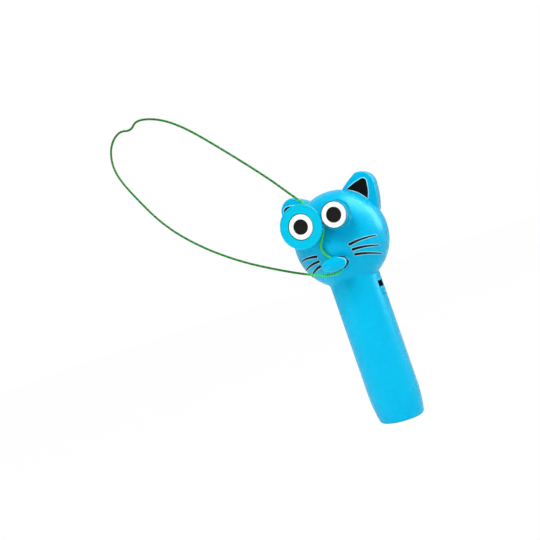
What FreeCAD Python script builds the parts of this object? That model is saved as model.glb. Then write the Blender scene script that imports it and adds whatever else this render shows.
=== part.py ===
import FreeCAD, Part

import math
import os

# A hand-held string launcher for cats, standing upright on the end of its handle.
# Millimetres. +Z runs up the handle, the face looks along -Y, and the origin is the
# centre of the flat foot. Left and right are as seen by someone facing the cat.

V = FreeCAD.Vector

# Casing: a flattened ball for the head on an oval handle, in a front and a back shell
head_radius = 32.8
face_depth = 23.9
back_depth = 19.0
head_rise = 65.3
wall = 2.0
seam_y = 5.0
seam_gap = 0.2
tongue_depth = 1.2
tongue_clearance = 0.12
tongue_step = 0.2
handle_half_width = 17.35
handle_half_depth = 14.3
oval_end_ratio = 0.88
dome_end_ratio = 0.68
foot_taper = 2.25
foot_height = 20.0
foot_round = 2.4
foot_floor = 2.4
neck_blend_front = 5.0
neck_blend_side = 0.8

# Ears: flat-fronted, thick, and set on the rim of the head
ear_angle = 50.0
ear_front = -2.0
ear_back = 9.0
ear_root_front = 8.0
ear_front_round = 1.1
ear_back_round = 3.0
ear_root_radius = 24.0
ear_root_reach = 33.2
ear_insert_thickness = 0.8
ear_recess = 1.2
inlay_clearance = 0.1

# Whiskers: black strokes let into the cheeks
whisker_depth = 0.5
whisker_root_width = 1.5
whisker_tip_width = 0.45
whisker_sag = 0.7

# Cells and their bay in the handle
cell_diameter = 14.5
cell_length = 50.5
cell_spacing = 14.7
nub_diameter = 5.5
nub_height = 1.0
cell_spring_room = 4.6
cradle_clearance = 0.3
rib_thickness = 1.6
lower_cradle_share = 0.2
upper_cradle_share = 0.8
cradle_edge = -3.0
contact_thickness = 0.4
contact_width = 9.0
contact_half_length = 4.6
contact_front_margin = 0.4
leaf_width = 4.0
leaf_gap = 0.15
leaf_bend = 0.9
leaf_tip = 2.4
tab_front = -8.8
tab_width = 2.0
tab_height = 5.0
tab_slot_clearance = 0.4

# Door of the bay, in the back of the handle, and its screw
door_half_width = 13.2
door_gap = 0.2
door_top_gap = 0.45
door_low = 8.2
door_over_bay = 9.0
hook_width = 9.0
hook_length = 2.4
hook_thickness = 1.2
hook_clearance = 0.35
hook_root = 3.0
door_rib_thickness = 1.4
lower_rib_share = 0.3
upper_rib_share = 0.7
door_screw_drop = 4.0
door_screw_length = 6.0
door_screw_radius = 1.1
door_screw_head = 2.2
door_screw_head_height = 1.4
door_screw_recess = 1.9
door_screw_recess_clearance = 0.1
door_screw_hole = 1.75
door_boss_height = 3.1
door_boss_gap = 0.3
door_post_radius = 3.2

# Slide switch in the right side of the handle
slot_rise = 22.0
slot_length = 9.3
slot_width = 5.4
slot_y = -2.6
knob_length = 5.0
knob_gap = 0.2
knob_proud = 0.55
knob_round = 0.5
knob_flange = 1.0
knob_flange_margin = 0.7
knob_pin_length = 1.4
switch_gap = 0.4
switch_depth = 5.6
switch_height = 13.0
switch_width = 6.4
switch_pin = 2.0
switch_pin_clearance = 0.2
switch_channel_depth = 1.6
switch_tag = 2.4
switch_tag_width = 1.8
switch_tag_rise = 3.6
switch_rib_margin = 1.0

# The two string wheels, side by side as the cat's eyes
wheel_spacing = 23.4
wheel_rise = 14.8
wheel_back = -24.3
drum_length = 5.6
drum_front_gap = 0.5
flange_thickness = 2.3
flange_radius = 14.3
flange_round = 0.9
flange_back_bevel = 0.54
smooth_drum_radius = 11.9
string_diameter = 1.5
string_sides = 12
nip_clearance = 0.15
knurl_count = 48
knurl_depth = 0.35
eye_boss_radius = 8.6
eye_boss_length = 2.5
eye_boss_bevel = 0.2
drum_wall = 1.6
drum_web = 1.6
hub_radius = 3.2
eye_radius = 8.2
eye_thickness = 0.6
pupil_radius = 4.9
pupil_thickness = 0.35
pupil_inlay = 0.25
pupil_clearance = 0.05

# Shafts, bushes and gears behind the face
shaft_radius = 1.0
bush_bore = 1.03
bush_radius = 2.5
bush_length = 6.6
bush_lip = 1.0
shaft_in_wheel = 1.2
shaft_past_plate = 0.8
tower_radius = 4.6
tower_back = 1.4
tower_gap = 0.4
gear_module = 0.6
wheel_teeth = 26
pinion_teeth = 12
idler_teeth = 16
gear_width = 2.6
gear_front = -9.0
gear_gap = 0.4
gear_backlash = 0.16
pressure_angle = 20.0
pinion_direction = -52.0
plate_thickness = 1.8
plate_radius = 27.0
plate_low_drop = 1.5
plate_high_rise = 23.4
plate_hole = 1.05
plate_edge_gap = 0.4
idler_pin_head = 1.7
idler_pin_head_height = 0.6

# Motor
motor_radius = 7.75
motor_flat = 6.0
motor_can_length = 14.4
motor_cap_length = 1.6
motor_boss_radius = 3.0
motor_boss_length = 1.3
motor_bore = 1.05
motor_cap_step = 0.15
motor_cap_boss = 0.8
terminal_width = 1.8
terminal_length = 2.2
terminal_thickness = 0.4
terminal_half_spacing = 3.6
terminal_drop = 4.2
cradle_wall = 1.4
cradle_length = 9.0
cradle_width = 9.2

# Screws: case, gear plate and lip
post_radius = 2.7
post_hole = 0.95
screw_radius = 0.95
screw_head_radius = 2.0
screw_head_height = 1.5
screw_head_bevel_share = 0.35
screw_length = 9.0
screw_clear_hole = 1.2
screw_recess_radius = 2.3
head_screw_x = 23.5
head_screw_drop = 8.0
top_screw_rise = 26.6
neck_screw_rise = 6.3
plate_post_radius = 2.4
plate_post_x = 21.0
plate_post_rise = 2.5
plate_top_post_rise = 20.4
plate_screw_length = 5.5
screw_end_room = 0.5
case_boss_extra = 0.8
case_screw_seat = 2.6

# Mouth: an oval cap on a stem, which guides the string
mouth_drop = 14.7
mouth_half_width = 9.6
mouth_half_height = 4.8
mouth_back = -25.8
mouth_steps = 18
stem_radius = 2.8
stem_seat = -19.8
stem_root = 0.5
stem_boss_radius = 5.6
stem_boss_length = 4.2
lip_screw_end = 1.4

# Hook-up wires
wire_radius = 0.6
wire_sides = 8
wire_gap = 0.05

# Sizes that follow from those above
half_spacing = wheel_spacing / 2
cell_x = cell_spacing / 2
cell_radius = cell_diameter / 2
cell_low = foot_floor + cell_spring_room
cell_high = cell_low + cell_length
bay_top = cell_high + cell_spring_room - contact_thickness - nub_height
tab_top = bay_top + tab_height
door_high = bay_top + door_over_bay
door_screw_z = door_high - door_screw_drop
neck_screw_z = door_high + neck_screw_rise
slot_low = bay_top + slot_rise
head_centre = bay_top + head_rise
wheel_height = head_centre + wheel_rise
mouth_height = head_centre - mouth_drop
plate_low = head_centre - plate_low_drop
plate_high = head_centre + plate_high_rise
plate_post_z = head_centre + plate_post_rise
plate_top_post_z = head_centre + plate_top_post_rise
knurled_drum_radius = wheel_spacing - smooth_drum_radius - string_diameter - 2 * nip_clearance
drum_front = wheel_back - drum_length
flange_front = drum_front - flange_thickness
knurl_front = drum_front + drum_front_gap
right_eye_front = knurl_front - eye_boss_length
tower_front = wheel_back + tower_gap
gear_back = gear_front + gear_width
plate_front = gear_back + gear_gap
plate_back = plate_front + plate_thickness
wheel_pitch = gear_module * wheel_teeth / 2
pinion_pitch = gear_module * pinion_teeth / 2
idler_pitch = gear_module * idler_teeth / 2
knob_travel = slot_length - knob_length - 2 * knob_gap
knob_flange_reach = abs(slot_y) + (slot_width / 2 - knob_gap) + knob_flange_margin
inner_half_width = handle_half_width - wall
inner_half_depth = handle_half_depth - wall
knob_seat = inner_half_width * math.sqrt(1 - (knob_flange_reach / inner_half_depth) ** 2)
knob_inner = knob_seat - knob_flange - switch_gap
switch_inner = knob_inner - switch_gap
switch_back_x = switch_inner - switch_depth
switch_middle = slot_low + slot_length / 2
motor_cap_front = plate_back + motor_can_length
motor_end = motor_cap_front + motor_cap_length
boss_back = stem_seat + stem_boss_length
case_screw_head = seam_y + case_screw_seat
door_boss_front = inner_half_depth - door_boss_height
door_screw_seat = handle_half_depth - door_screw_recess
door_screw_front = door_screw_seat - door_screw_length
far = 3 * (head_centre + head_radius)


def cylinder_y(x, z, y_low, y_high, radius):
    """A round bar along Y."""
    return Part.makeCylinder(radius, y_high - y_low, V(x, y_low, z), V(0, 1, 0))


def box(x_low, x_high, y_low, y_high, z_low, z_high):
    return Part.makeBox(x_high - x_low, y_high - y_low, z_high - z_low, V(x_low, y_low, z_low))


def turned(x, z, profile):
    """A piece turned about an axis along Y, from (radius, y) points that start and end on it."""
    chain = [V(x + radius, y, z) for radius, y in profile]
    return Part.Face(Part.makePolygon(chain + chain[:1])).revolve(V(x, 0, z), V(0, 1, 0), 360)


def rounded_corner(radius, y, size, steps=4):
    """The chain over a rounded outer corner, from the face at y back to the rim."""
    chain = []
    for step in range(steps + 1):
        angle = math.pi / 2 * step / steps
        chain.append((radius - size + size * math.sin(angle), y + size - size * math.cos(angle)))
    return chain


def mirrored(shape):
    """The same piece on the other side of the cat."""
    return shape.mirror(V(0, 0, 0), V(1, 0, 0))


def tidy(shape):
    """One solid without the seams that a union leaves."""
    clean = shape.removeSplitter()
    return clean.Solids[0] if len(clean.Solids) == 1 else clean


def whole_slice(y_low, y_high, z_low=-far, z_high=far):
    """A cutter across the whole width of the part."""
    return box(-far, far, y_low, y_high, z_low, z_high)


def export(name, shape):
    shape.exportStep(f"parts/{name}.step")
    print(f"{name}: {len(shape.Solids)} solid(s), {shape.Volume:.1f} mm3, valid {shape.isValid()}")


def four_arcs(half_x, half_y, end_radius):
    """An oval of four arcs that run on smoothly, as points and centres: ends tight, sides wide."""
    side_radius = ((half_x - end_radius) ** 2 + half_y ** 2 - end_radius ** 2) / (2 * (half_y - end_radius))
    lean = math.atan2(side_radius - half_y, half_x - end_radius)
    join = V(half_x - end_radius + end_radius * math.cos(lean), end_radius * math.sin(lean), 0)
    side_lean = (lean + math.pi / 2) / 2
    side = V(side_radius * math.cos(side_lean), half_y - side_radius + side_radius * math.sin(side_lean), 0)
    end = V(half_x - end_radius + end_radius * math.cos(lean / 2), end_radius * math.sin(lean / 2), 0)
    return join, side, end


def oval(half_x, half_y, z):
    """A level oval of four arcs."""
    join, _, _ = four_arcs(half_x, half_y, oval_end_ratio * half_y)
    right = Part.Arc(V(join.x, -join.y, z), V(half_x, 0, z), V(join.x, join.y, z))
    back = Part.Arc(V(join.x, join.y, z), V(0, half_y, z), V(-join.x, join.y, z))
    left = Part.Arc(V(-join.x, join.y, z), V(-half_x, 0, z), V(-join.x, -join.y, z))
    front = Part.Arc(V(-join.x, -join.y, z), V(0, -half_y, z), V(join.x, -join.y, z))
    return Part.Wire([arc.toShape() for arc in (right, back, left, front)])


def half_ball(radius, depth):
    """One side of the head, turned about the front-back axis: a tight arc at the rim, then a wide one."""
    join, side, end = four_arcs(radius, depth, dome_end_ratio * depth)
    rim = V(radius, 0, 0)
    pole = V(0, -depth, 0)
    join, side, end = (V(p.x, -p.y, 0) for p in (join, side, end))
    edges = [
        Part.Arc(rim, end, join).toShape(),
        Part.Arc(join, side, pole).toShape(),
        Part.LineSegment(pole, V(0, 0, 0)).toShape(),
        Part.LineSegment(V(0, 0, 0), rim).toShape(),
    ]
    return Part.Face(Part.Wire(edges)).revolve(V(0, 0, 0), V(0, 1, 0), 360)


def head_solid(inset):
    """The flattened ball, deeper in front than behind."""
    front = half_ball(head_radius - inset, face_depth - inset)
    back = half_ball(head_radius - inset, back_depth - inset).mirror(V(0, 0, 0), V(0, 1, 0))
    ball = front.fuse(back).Solids[0]
    ball.translate(V(0, 0, head_centre))
    return ball


def drawn_in(z):
    """How much narrower the handle is at a height near its foot."""
    return foot_taper * (1 - math.sin(math.pi / 2 * z / foot_height))


def handle_solid(inset, low, high):
    """The oval handle, drawn in towards its foot."""
    steps = 3
    rings = []
    for step in range(steps + 1):
        z = low + (foot_height - low) * step / steps
        narrower = drawn_in(z) + inset
        rings.append(oval(handle_half_width - narrower, handle_half_depth - narrower, z))
    foot = Part.makeLoft(rings, True, False)
    top = Part.Face(oval(handle_half_width - inset, handle_half_depth - inset, foot_height))
    return foot.fuse(top.extrude(V(0, 0, high - foot_height))).Solids[0]


def ear_point(across, up):
    """A point of the right ear, counted from where its middle crosses the head's rim."""
    angle = math.radians(ear_angle)
    return V(head_radius * math.cos(angle) + across, 0, head_centre + head_radius * math.sin(angle) + up)


def ear_face():
    foot_inner = ear_point(-10.0, 4.3)
    shoulder = ear_point(2.9, 12.5)
    side = ear_point(13.3, 2.6)
    foot_outer = ear_point(9.6, -15.6)
    inside = ear_point(-3.0, -13.0)
    edges = [
        Part.Arc(foot_inner, ear_point(-2.9, 9.4), shoulder).toShape(),
        Part.Arc(shoulder, ear_point(10.1, 10.3), side).toShape(),
        Part.Arc(side, ear_point(12.4, -5.6), foot_outer).toShape(),
        Part.LineSegment(foot_outer, inside).toShape(),
        Part.LineSegment(inside, foot_inner).toShape(),
    ]
    return Part.Face(Part.Wire(edges))


def ear_insert_face():
    inner = ear_point(-4.6, 3.5)
    tip = ear_point(6.8, 6.9)
    shoulder = ear_point(8.8, 3.5)
    low = ear_point(5.9, -6.2)
    edges = [
        Part.Arc(inner, ear_point(1.2, 5.8), tip).toShape(),
        Part.Arc(tip, ear_point(8.5, 6.0), shoulder).toShape(),
        Part.Arc(shoulder, ear_point(8.1, -1.5), low).toShape(),
        Part.Arc(low, ear_point(2.2, -1.3), inner).toShape(),
    ]
    return Part.Face(Part.Wire(edges))


def slab(face, y_low, y_high):
    """A flat outline of the XZ plane, given its thickness along Y."""
    moved = face.copy()
    moved.translate(V(0, y_low, 0))
    return moved.extrude(V(0, y_high - y_low, 0))


def ear_solid():
    ear = slab(ear_face(), ear_front, ear_back)
    curved = [e for e in ear.Edges if e.Curve.TypeId == "Part::GeomCircle"]
    front = [e for e in curved if abs(e.CenterOfMass.y - ear_front) < 0.01]
    ear = ear.makeFillet(ear_front_round, front)
    curved = [e for e in ear.Edges if e.Curve.TypeId == "Part::GeomCircle"]
    back = [e for e in curved if e.BoundBox.YMin > ear_back - 0.01]
    ear = ear.makeFillet(ear_back_round, back)
    angle = math.radians(ear_angle)
    reach = ear_root_reach - ear_root_radius
    centre = V(reach * math.cos(angle), seam_y, head_centre + reach * math.sin(angle))
    root_slab = slab(ear_face(), ear_front - ear_root_front, ear_back - ear_back_round)
    return ear.fuse(Part.makeSphere(ear_root_radius, centre).common(root_slab))


def ear_pocket():
    """The hollow behind the ear's front wall."""
    face = ear_face().makeOffset2D(-wall)
    return slab(face, ear_front + wall, ear_back - wall)


def casing_outside():
    """Head, neck and handle in one, with the neck rounded in front and crisp at the sides."""
    handle = handle_solid(0, 0, head_centre)
    foot_edges = [e for e in handle.Edges if e.BoundBox.ZMax < 0.01]
    handle = handle.makeFillet(foot_round, foot_edges)
    reach = 2 * head_radius
    right_side = box(0, reach, -reach, reach, -1, head_centre + reach)
    half = head_solid(0).fuse(handle).common(right_side)
    for edge in half.Edges:
        ends = [v.Point for v in edge.Vertexes]
        at_neck = all(head_centre - head_radius < p.z < head_centre - 1 for p in ends)
        if at_neck and len(ends) == 2 and min(p.y for p in ends) < -1 and abs(ends[0].y - ends[1].y) > 1:
            starts_in_front = edge.valueAt(edge.FirstParameter).y < -1
            first = neck_blend_front if starts_in_front else neck_blend_side
            last = neck_blend_side if starts_in_front else neck_blend_front
            half = half.makeFillet(first, last, [edge])
            break
    return half.fuse(mirrored(half)).Solids[0]


def casing_inside(inset):
    """What a wall of that thickness leaves free, without the ears."""
    handle = handle_solid(inset, foot_floor + inset - wall, head_centre)
    return head_solid(inset).fuse(handle)


def whisker(root_x, root_z, tip_x, tip_z):
    """One tapered, slightly arched stroke as an upright cutter through the right cheek."""
    middle_x = (root_x + tip_x) / 2
    middle_z = (root_z + tip_z) / 2 + whisker_sag
    middle_width = (whisker_root_width + whisker_tip_width) / 2
    root_top = V(root_x, 0, root_z + whisker_root_width / 2)
    root_low = V(root_x, 0, root_z - whisker_root_width / 2)
    tip_top = V(tip_x, 0, tip_z + whisker_tip_width / 2)
    tip_low = V(tip_x, 0, tip_z - whisker_tip_width / 2)
    edges = [
        Part.Arc(root_top, V(middle_x, 0, middle_z + middle_width / 2), tip_top).toShape(),
        Part.LineSegment(tip_top, tip_low).toShape(),
        Part.Arc(tip_low, V(middle_x, 0, middle_z - middle_width / 2), root_low).toShape(),
        Part.LineSegment(root_low, root_top).toShape(),
    ]
    return slab(Part.Face(Part.Wire(edges)), -face_depth - 1, 0)


def whiskers():
    """Three strokes on the right cheek, each following the curve of the face."""
    strokes = [
        whisker(12.8, head_centre - 5.7, 26.7, head_centre - 5.7),
        whisker(12.8, head_centre - 9.4, 26.7, head_centre - 12.2),
        whisker(13.3, head_centre - 12.8, 25.4, head_centre - 17.7),
    ]
    skin = head_solid(0).cut(head_solid(whisker_depth))
    return Part.makeCompound([stroke.common(skin).Solids[0] for stroke in strokes])


def post(x, z, y_high, radius):
    """A round post that grows out of the inside of the front wall."""
    bar = cylinder_y(x, z, -face_depth, y_high, radius)
    casing = head_solid(wall / 2) if z > head_centre - head_radius else handle_solid(wall / 2, 1, head_centre)
    return bar.common(casing)


def meet(centre_a, radius_a, centre_b, radius_b):
    """Where two circles of the XZ plane cross, on the lower side."""
    between = centre_b - centre_a
    length = between.Length
    along = (radius_a ** 2 - radius_b ** 2 + length ** 2) / (2 * length)
    aside = math.sqrt(radius_a ** 2 - along ** 2)
    unit = V(between.x / length, 0, between.z / length)
    return centre_a + unit * along + V(unit.z, 0, -unit.x) * aside


left_axis = V(-half_spacing, 0, wheel_height)
right_axis = V(half_spacing, 0, wheel_height)
pinion_turn = math.radians(pinion_direction)
pinion_axis = left_axis + V(math.cos(pinion_turn), 0, math.sin(pinion_turn)) * (wheel_pitch + pinion_pitch)
terminal_z = pinion_axis.z - terminal_drop
idler_axis = meet(pinion_axis, pinion_pitch + idler_pitch, right_axis, idler_pitch + wheel_pitch)
case_screw_places = [
    V(-head_screw_x, 0, head_centre - head_screw_drop),
    V(head_screw_x, 0, head_centre - head_screw_drop),
    V(0, 0, head_centre + top_screw_rise),
    V(0, 0, neck_screw_z),
]
plate_screw_places = [
    V(-plate_post_x, 0, plate_post_z),
    V(plate_post_x, 0, plate_post_z),
    V(0, 0, plate_top_post_z),
]


def front_shell(outside, hollow):
    shell = outside.cut(hollow).common(whole_slice(-far, seam_y))
    additions = []
    tower_end = tower_front + bush_length + tower_back
    for x in (-half_spacing, half_spacing):
        additions.append(cylinder_y(x, wheel_height, tower_front, tower_end, tower_radius))
    for place in case_screw_places:
        additions.append(post(place.x, place.z, seam_y, post_radius))
    for place in plate_screw_places:
        additions.append(post(place.x, place.z, plate_front, plate_post_radius))
    additions.append(cylinder_y(0, mouth_height, stem_seat, boss_back, stem_boss_radius))
    additions.append(post(0, door_screw_z, door_boss_front - door_boss_gap, door_post_radius))
    room = casing_inside(wall / 2)
    divider = room.common(whole_slice(-far, seam_y, bay_top, bay_top + rib_thickness))
    slot_half = tab_width / 2 + tab_slot_clearance
    for x in (-cell_x, cell_x):
        divider = divider.cut(box(x - slot_half, x + slot_half, tab_front - tab_slot_clearance,
                                  tab_front + contact_thickness + tab_slot_clearance, 0, far))
    additions.append(divider)
    for share in (lower_cradle_share, upper_cradle_share):
        z = cell_low + cell_length * share
        cradle = room.common(whole_slice(-far, cradle_edge, z, z + rib_thickness))
        for x in (-cell_x, cell_x):
            cradle = cradle.cut(Part.makeCylinder(cell_radius + cradle_clearance, far, V(x, 0, 0)))
        additions.append(cradle)
    rib_half = switch_width / 2 + switch_rib_margin
    upper_rib = switch_middle + switch_height / 2 + knob_gap
    lower_rib = switch_middle - switch_height / 2 - knob_gap - rib_thickness
    for z in (lower_rib, upper_rib):
        rib = box(switch_back_x, far, slot_y - rib_half, slot_y + rib_half, z, z + rib_thickness)
        additions.append(room.common(rib))
    shell = shell.fuse(additions)
    cuts = []
    for x in (-half_spacing, half_spacing):
        cuts.append(cylinder_y(x, wheel_height, -far, tower_front + bush_length, bush_radius))
        cuts.append(cylinder_y(x, wheel_height, -far, plate_front, bush_radius - bush_lip))
    case_hole_end = case_screw_head - screw_length - screw_end_room
    for place in case_screw_places:
        cuts.append(cylinder_y(place.x, place.z, case_hole_end, far, post_hole))
    plate_hole_end = plate_front - plate_screw_length - screw_end_room
    for place in plate_screw_places:
        cuts.append(cylinder_y(place.x, place.z, plate_hole_end, far, post_hole))
    cuts.append(cylinder_y(0, mouth_height, -far, stem_seat, stem_radius))
    cuts.append(cylinder_y(0, mouth_height, -far, 0, screw_clear_hole))
    cuts.append(cylinder_y(0, door_screw_z, door_screw_front - screw_end_room, far, door_screw_hole))
    cuts.append(box(switch_inner, far, slot_y - slot_width / 2, slot_y + slot_width / 2,
                    slot_low, slot_low + slot_length))
    cuts += [ear_recess_cut(), mirrored(ear_recess_cut())]
    strokes = whiskers()
    cuts += strokes.Solids + mirrored(strokes).Solids
    for x in (-cell_x, cell_x):
        cuts.append(Part.makeCylinder(cell_radius + cradle_clearance, cell_length + 2 * cradle_clearance,
                                      V(x, 0, cell_low - cradle_clearance)))
    rebate = casing_inside(wall / 2 - tongue_clearance).cut(casing_inside(wall + tongue_clearance))
    cuts.append(rebate.common(whole_slice(seam_y - tongue_depth - tongue_clearance, seam_y + 1)))
    return tidy(shell.cut(cuts))


def ear_recess_cut():
    face = ear_insert_face().makeOffset2D(inlay_clearance)
    return slab(face, -head_radius, ear_front + ear_recess)


def rear_shell(outside, hollow):
    shell = outside.cut(hollow).common(whole_slice(seam_y + seam_gap, far))
    tongue = casing_inside(wall / 2).cut(casing_inside(wall - tongue_step))
    tongue = tongue.common(whole_slice(seam_y - tongue_depth, seam_y + seam_gap))
    ear_root = slab(ear_face(), 0, seam_y + 1)
    shell = shell.fuse(tongue.cut([ear_root, mirrored(ear_root)]))
    room = casing_inside(wall / 2)
    cuts = []
    for place in case_screw_places:
        boss = cylinder_y(place.x, place.z, seam_y + seam_gap, far, post_radius + case_boss_extra)
        shell = shell.fuse(boss.common(room))
        cuts.append(cylinder_y(place.x, place.z, seam_y, far, screw_clear_hole))
        cuts.append(cylinder_y(place.x, place.z, case_screw_head, far, screw_recess_radius))
    cuts.append(box(-door_half_width - door_gap, door_half_width + door_gap, seam_y - tongue_depth - 1, far,
                    door_low - door_gap, door_high + door_top_gap))
    return tidy(shell.cut(cuts))


def battery_door():
    """The door with its hook below, two ribs that hold the cells and a boss for its screw."""
    panel = handle_solid(0, 0, head_centre).cut(handle_solid(wall, -1, head_centre + 1))
    door = panel.common(box(-door_half_width, door_half_width, seam_y + seam_gap, far, door_low, door_high))
    narrower = drawn_in(door_low - hook_length)
    hook_share = hook_width / 2 / (inner_half_width - narrower)
    hook_y = (inner_half_depth - narrower) * math.sqrt(1 - hook_share ** 2) - hook_clearance
    hook = box(-hook_width / 2, hook_width / 2, hook_y - hook_thickness, hook_y, door_low - hook_length,
               door_low + hook_root)
    root = box(-hook_width / 2, hook_width / 2, hook_y - hook_thickness, hook_y + wall,
               door_low, door_low + hook_root)
    door = door.fuse([hook, root])
    for share in (lower_rib_share, upper_rib_share):
        z = cell_low + cell_length * share
        rib = handle_solid(wall / 2, -1, head_centre).common(
            box(-cell_x, cell_x, cell_radius + cradle_clearance, far, z, z + door_rib_thickness))
        door = door.fuse(rib)
    boss = cylinder_y(0, door_screw_z, door_boss_front, handle_half_depth - wall / 2, door_post_radius)
    door = door.fuse(boss)
    door = door.cut(cylinder_y(0, door_screw_z, 0, far, door_screw_radius))
    recess_radius = door_screw_head + door_screw_recess_clearance
    door = door.cut(cylinder_y(0, door_screw_z, door_screw_seat, far, recess_radius))
    return tidy(door)


def pan_screw(x, z, y_head, length, radius, head_size, head_height):
    """A round-headed screw driven forward from behind, its head's seat at y_head."""
    bevel = head_height * screw_head_bevel_share
    profile = [(0, y_head - length), (radius, y_head - length), (radius, y_head), (head_size, y_head),
               (head_size, y_head + head_height - bevel), (head_size - bevel, y_head + head_height),
               (0, y_head + head_height)]
    return turned(x, z, profile)


def cell(x, nub_up):
    """One cylindrical cell with a raised nub on its positive end."""
    can = Part.makeCylinder(cell_radius, cell_length - nub_height, V(x, 0, cell_low))
    rims = [e for e in can.Edges if e.Curve.TypeId == "Part::GeomCircle"]
    can = can.makeChamfer(0.4, rims)
    nub = Part.makeCylinder(nub_diameter / 2, nub_height + 1, V(x, 0, cell_high - nub_height - 1))
    whole = tidy(can.fuse(nub))
    if not nub_up:
        whole.rotate(V(x, 0, cell_low + cell_length / 2), V(1, 0, 0), 180)
    return whole


def bent_strip(points, thickness, x_low, x_high):
    """Sheet metal bent along a chain of (y, z) points, of even thickness to its left."""
    offset = []
    for i, (y, z) in enumerate(points):
        turns = []
        for a, b in ((i - 1, i), (i, i + 1)):
            if 0 <= a and b < len(points):
                run = V(0, points[b][0] - points[a][0], points[b][1] - points[a][1]).normalize()
                turns.append(V(0, -run.z, run.y))
        normal = turns[0] + turns[-1]
        normal = normal * (2 * thickness / normal.Length ** 2)
        offset.append(V(x_low, y + normal.y, z + normal.z))
    outline = [V(x_low, y, z) for y, z in points] + offset[::-1]
    face = Part.Face(Part.makePolygon(outline + outline[:1]))
    return face.extrude(V(x_high - x_low, 0, 0))


def leaf(x, root_z, touch_z):
    """A tongue bent out of the contact plate, which presses on the cell's end."""
    rise = touch_z - root_z
    points = [(-contact_half_length, root_z), (-contact_half_length + leaf_bend, root_z + rise * 0.35),
              (0.0, touch_z), (leaf_tip, root_z + rise * 0.62)]
    side = contact_thickness if rise < 0 else -contact_thickness
    return bent_strip(points, side, x - leaf_width / 2, x + leaf_width / 2)


def contact_plate(x_low, x_high, z_low):
    return box(x_low, x_high, -contact_half_length - contact_front_margin, contact_half_length,
               z_low, z_low + contact_thickness)


def lower_contact():
    """The bridge under both cells."""
    half = cell_x + contact_width / 2
    plate = contact_plate(-half, half, foot_floor)
    for x in (-cell_x, cell_x):
        plate = plate.fuse(leaf(x, foot_floor + contact_thickness, cell_low - leaf_gap))
    return tidy(plate)


def upper_contact(x):
    """One cell's contact under the divider, with a solder tab up through it."""
    plate = contact_plate(x - contact_width / 2, x + contact_width / 2, bay_top - contact_thickness)
    plate = plate.fuse(leaf(x, bay_top - contact_thickness, cell_high + leaf_gap))
    low = bay_top - contact_thickness
    arm = box(x - tab_width / 2, x + tab_width / 2, tab_front, -contact_half_length, low, bay_top)
    tab = box(x - tab_width / 2, x + tab_width / 2, tab_front, tab_front + contact_thickness, low, tab_top)
    return tidy(plate.fuse(arm).fuse(tab))


def switch_body():
    """The slide switch behind its slot, with two solder tags."""
    body = box(switch_back_x, switch_inner, slot_y - switch_width / 2, slot_y + switch_width / 2,
               switch_middle - switch_height / 2, switch_middle + switch_height / 2)
    channel = switch_pin / 2 + switch_pin_clearance
    pin_rest = slot_low + knob_gap + knob_length / 2
    body = body.cut(box(switch_inner - switch_channel_depth, far, slot_y - channel, slot_y + channel,
                        pin_rest - channel, pin_rest + channel + knob_travel))
    half_width = switch_tag_width / 2
    half_thickness = contact_thickness / 2
    for z in (switch_middle - switch_tag_rise, switch_middle + switch_tag_rise):
        tag = box(switch_back_x - switch_tag, switch_inner - switch_channel_depth - 1,
                  slot_y - half_width, slot_y + half_width, z - half_thickness, z + half_thickness)
        body = body.fuse(tag)
    return tidy(body)


def switch_knob():
    """The slot's button, curved as the handle is, with a flange behind the wall and a pin into the switch."""
    low = slot_low + knob_gap
    half = slot_width / 2 - knob_gap
    face = Part.Face(oval(handle_half_width + knob_proud, handle_half_depth + knob_proud, low))
    stem = box(knob_inner, far, slot_y - half, slot_y + half, low, low + knob_length)
    stem = stem.common(face.extrude(V(0, 0, knob_length)))
    far_edges = [e for e in stem.Edges if e.BoundBox.XMin > knob_seat]
    stem = stem.makeFillet(knob_round, far_edges)
    margin = knob_flange_margin
    flange = box(knob_inner, knob_inner + knob_flange, slot_y - half - margin, slot_y + half + margin,
                 low - margin, low + knob_length + margin)
    middle = low + knob_length / 2
    pin = box(knob_inner - knob_pin_length, knob_inner, slot_y - switch_pin / 2, slot_y + switch_pin / 2,
              middle - switch_pin / 2, middle + switch_pin / 2)
    return tidy(stem.fuse(flange).fuse(pin))


def left_flange():
    """The broad smooth disc that keeps the string on the left wheel."""
    bevel = flange_back_bevel
    profile = [(0, flange_front)] + rounded_corner(flange_radius, flange_front, flange_round)
    profile += [(flange_radius, drum_front - bevel), (flange_radius - bevel, drum_front), (0, drum_front)]
    disc = turned(-half_spacing, wheel_height, profile)
    disc = disc.cut(eye_recess(-half_spacing, flange_front))
    shaft_front = drum_front - shaft_in_wheel
    return tidy(disc.cut(cylinder_y(-half_spacing, wheel_height, shaft_front, 0, shaft_radius)))


def eye_recess(x, front):
    return cylinder_y(x, wheel_height, front - 1, front + eye_thickness, eye_radius + inlay_clearance)


def drum_core(x, front, radius):
    """A drum hollowed from behind round its hub."""
    drum = cylinder_y(x, wheel_height, front, wheel_back, radius)
    hollow = cylinder_y(x, wheel_height, front + drum_web, wheel_back, radius - drum_wall)
    hub = cylinder_y(x, wheel_height, front, wheel_back, hub_radius)
    return drum.cut(hollow).fuse(hub)


def left_drum():
    drum = drum_core(-half_spacing, drum_front, smooth_drum_radius)
    return tidy(drum.cut(cylinder_y(-half_spacing, wheel_height, -far, 0, shaft_radius)))


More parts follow.
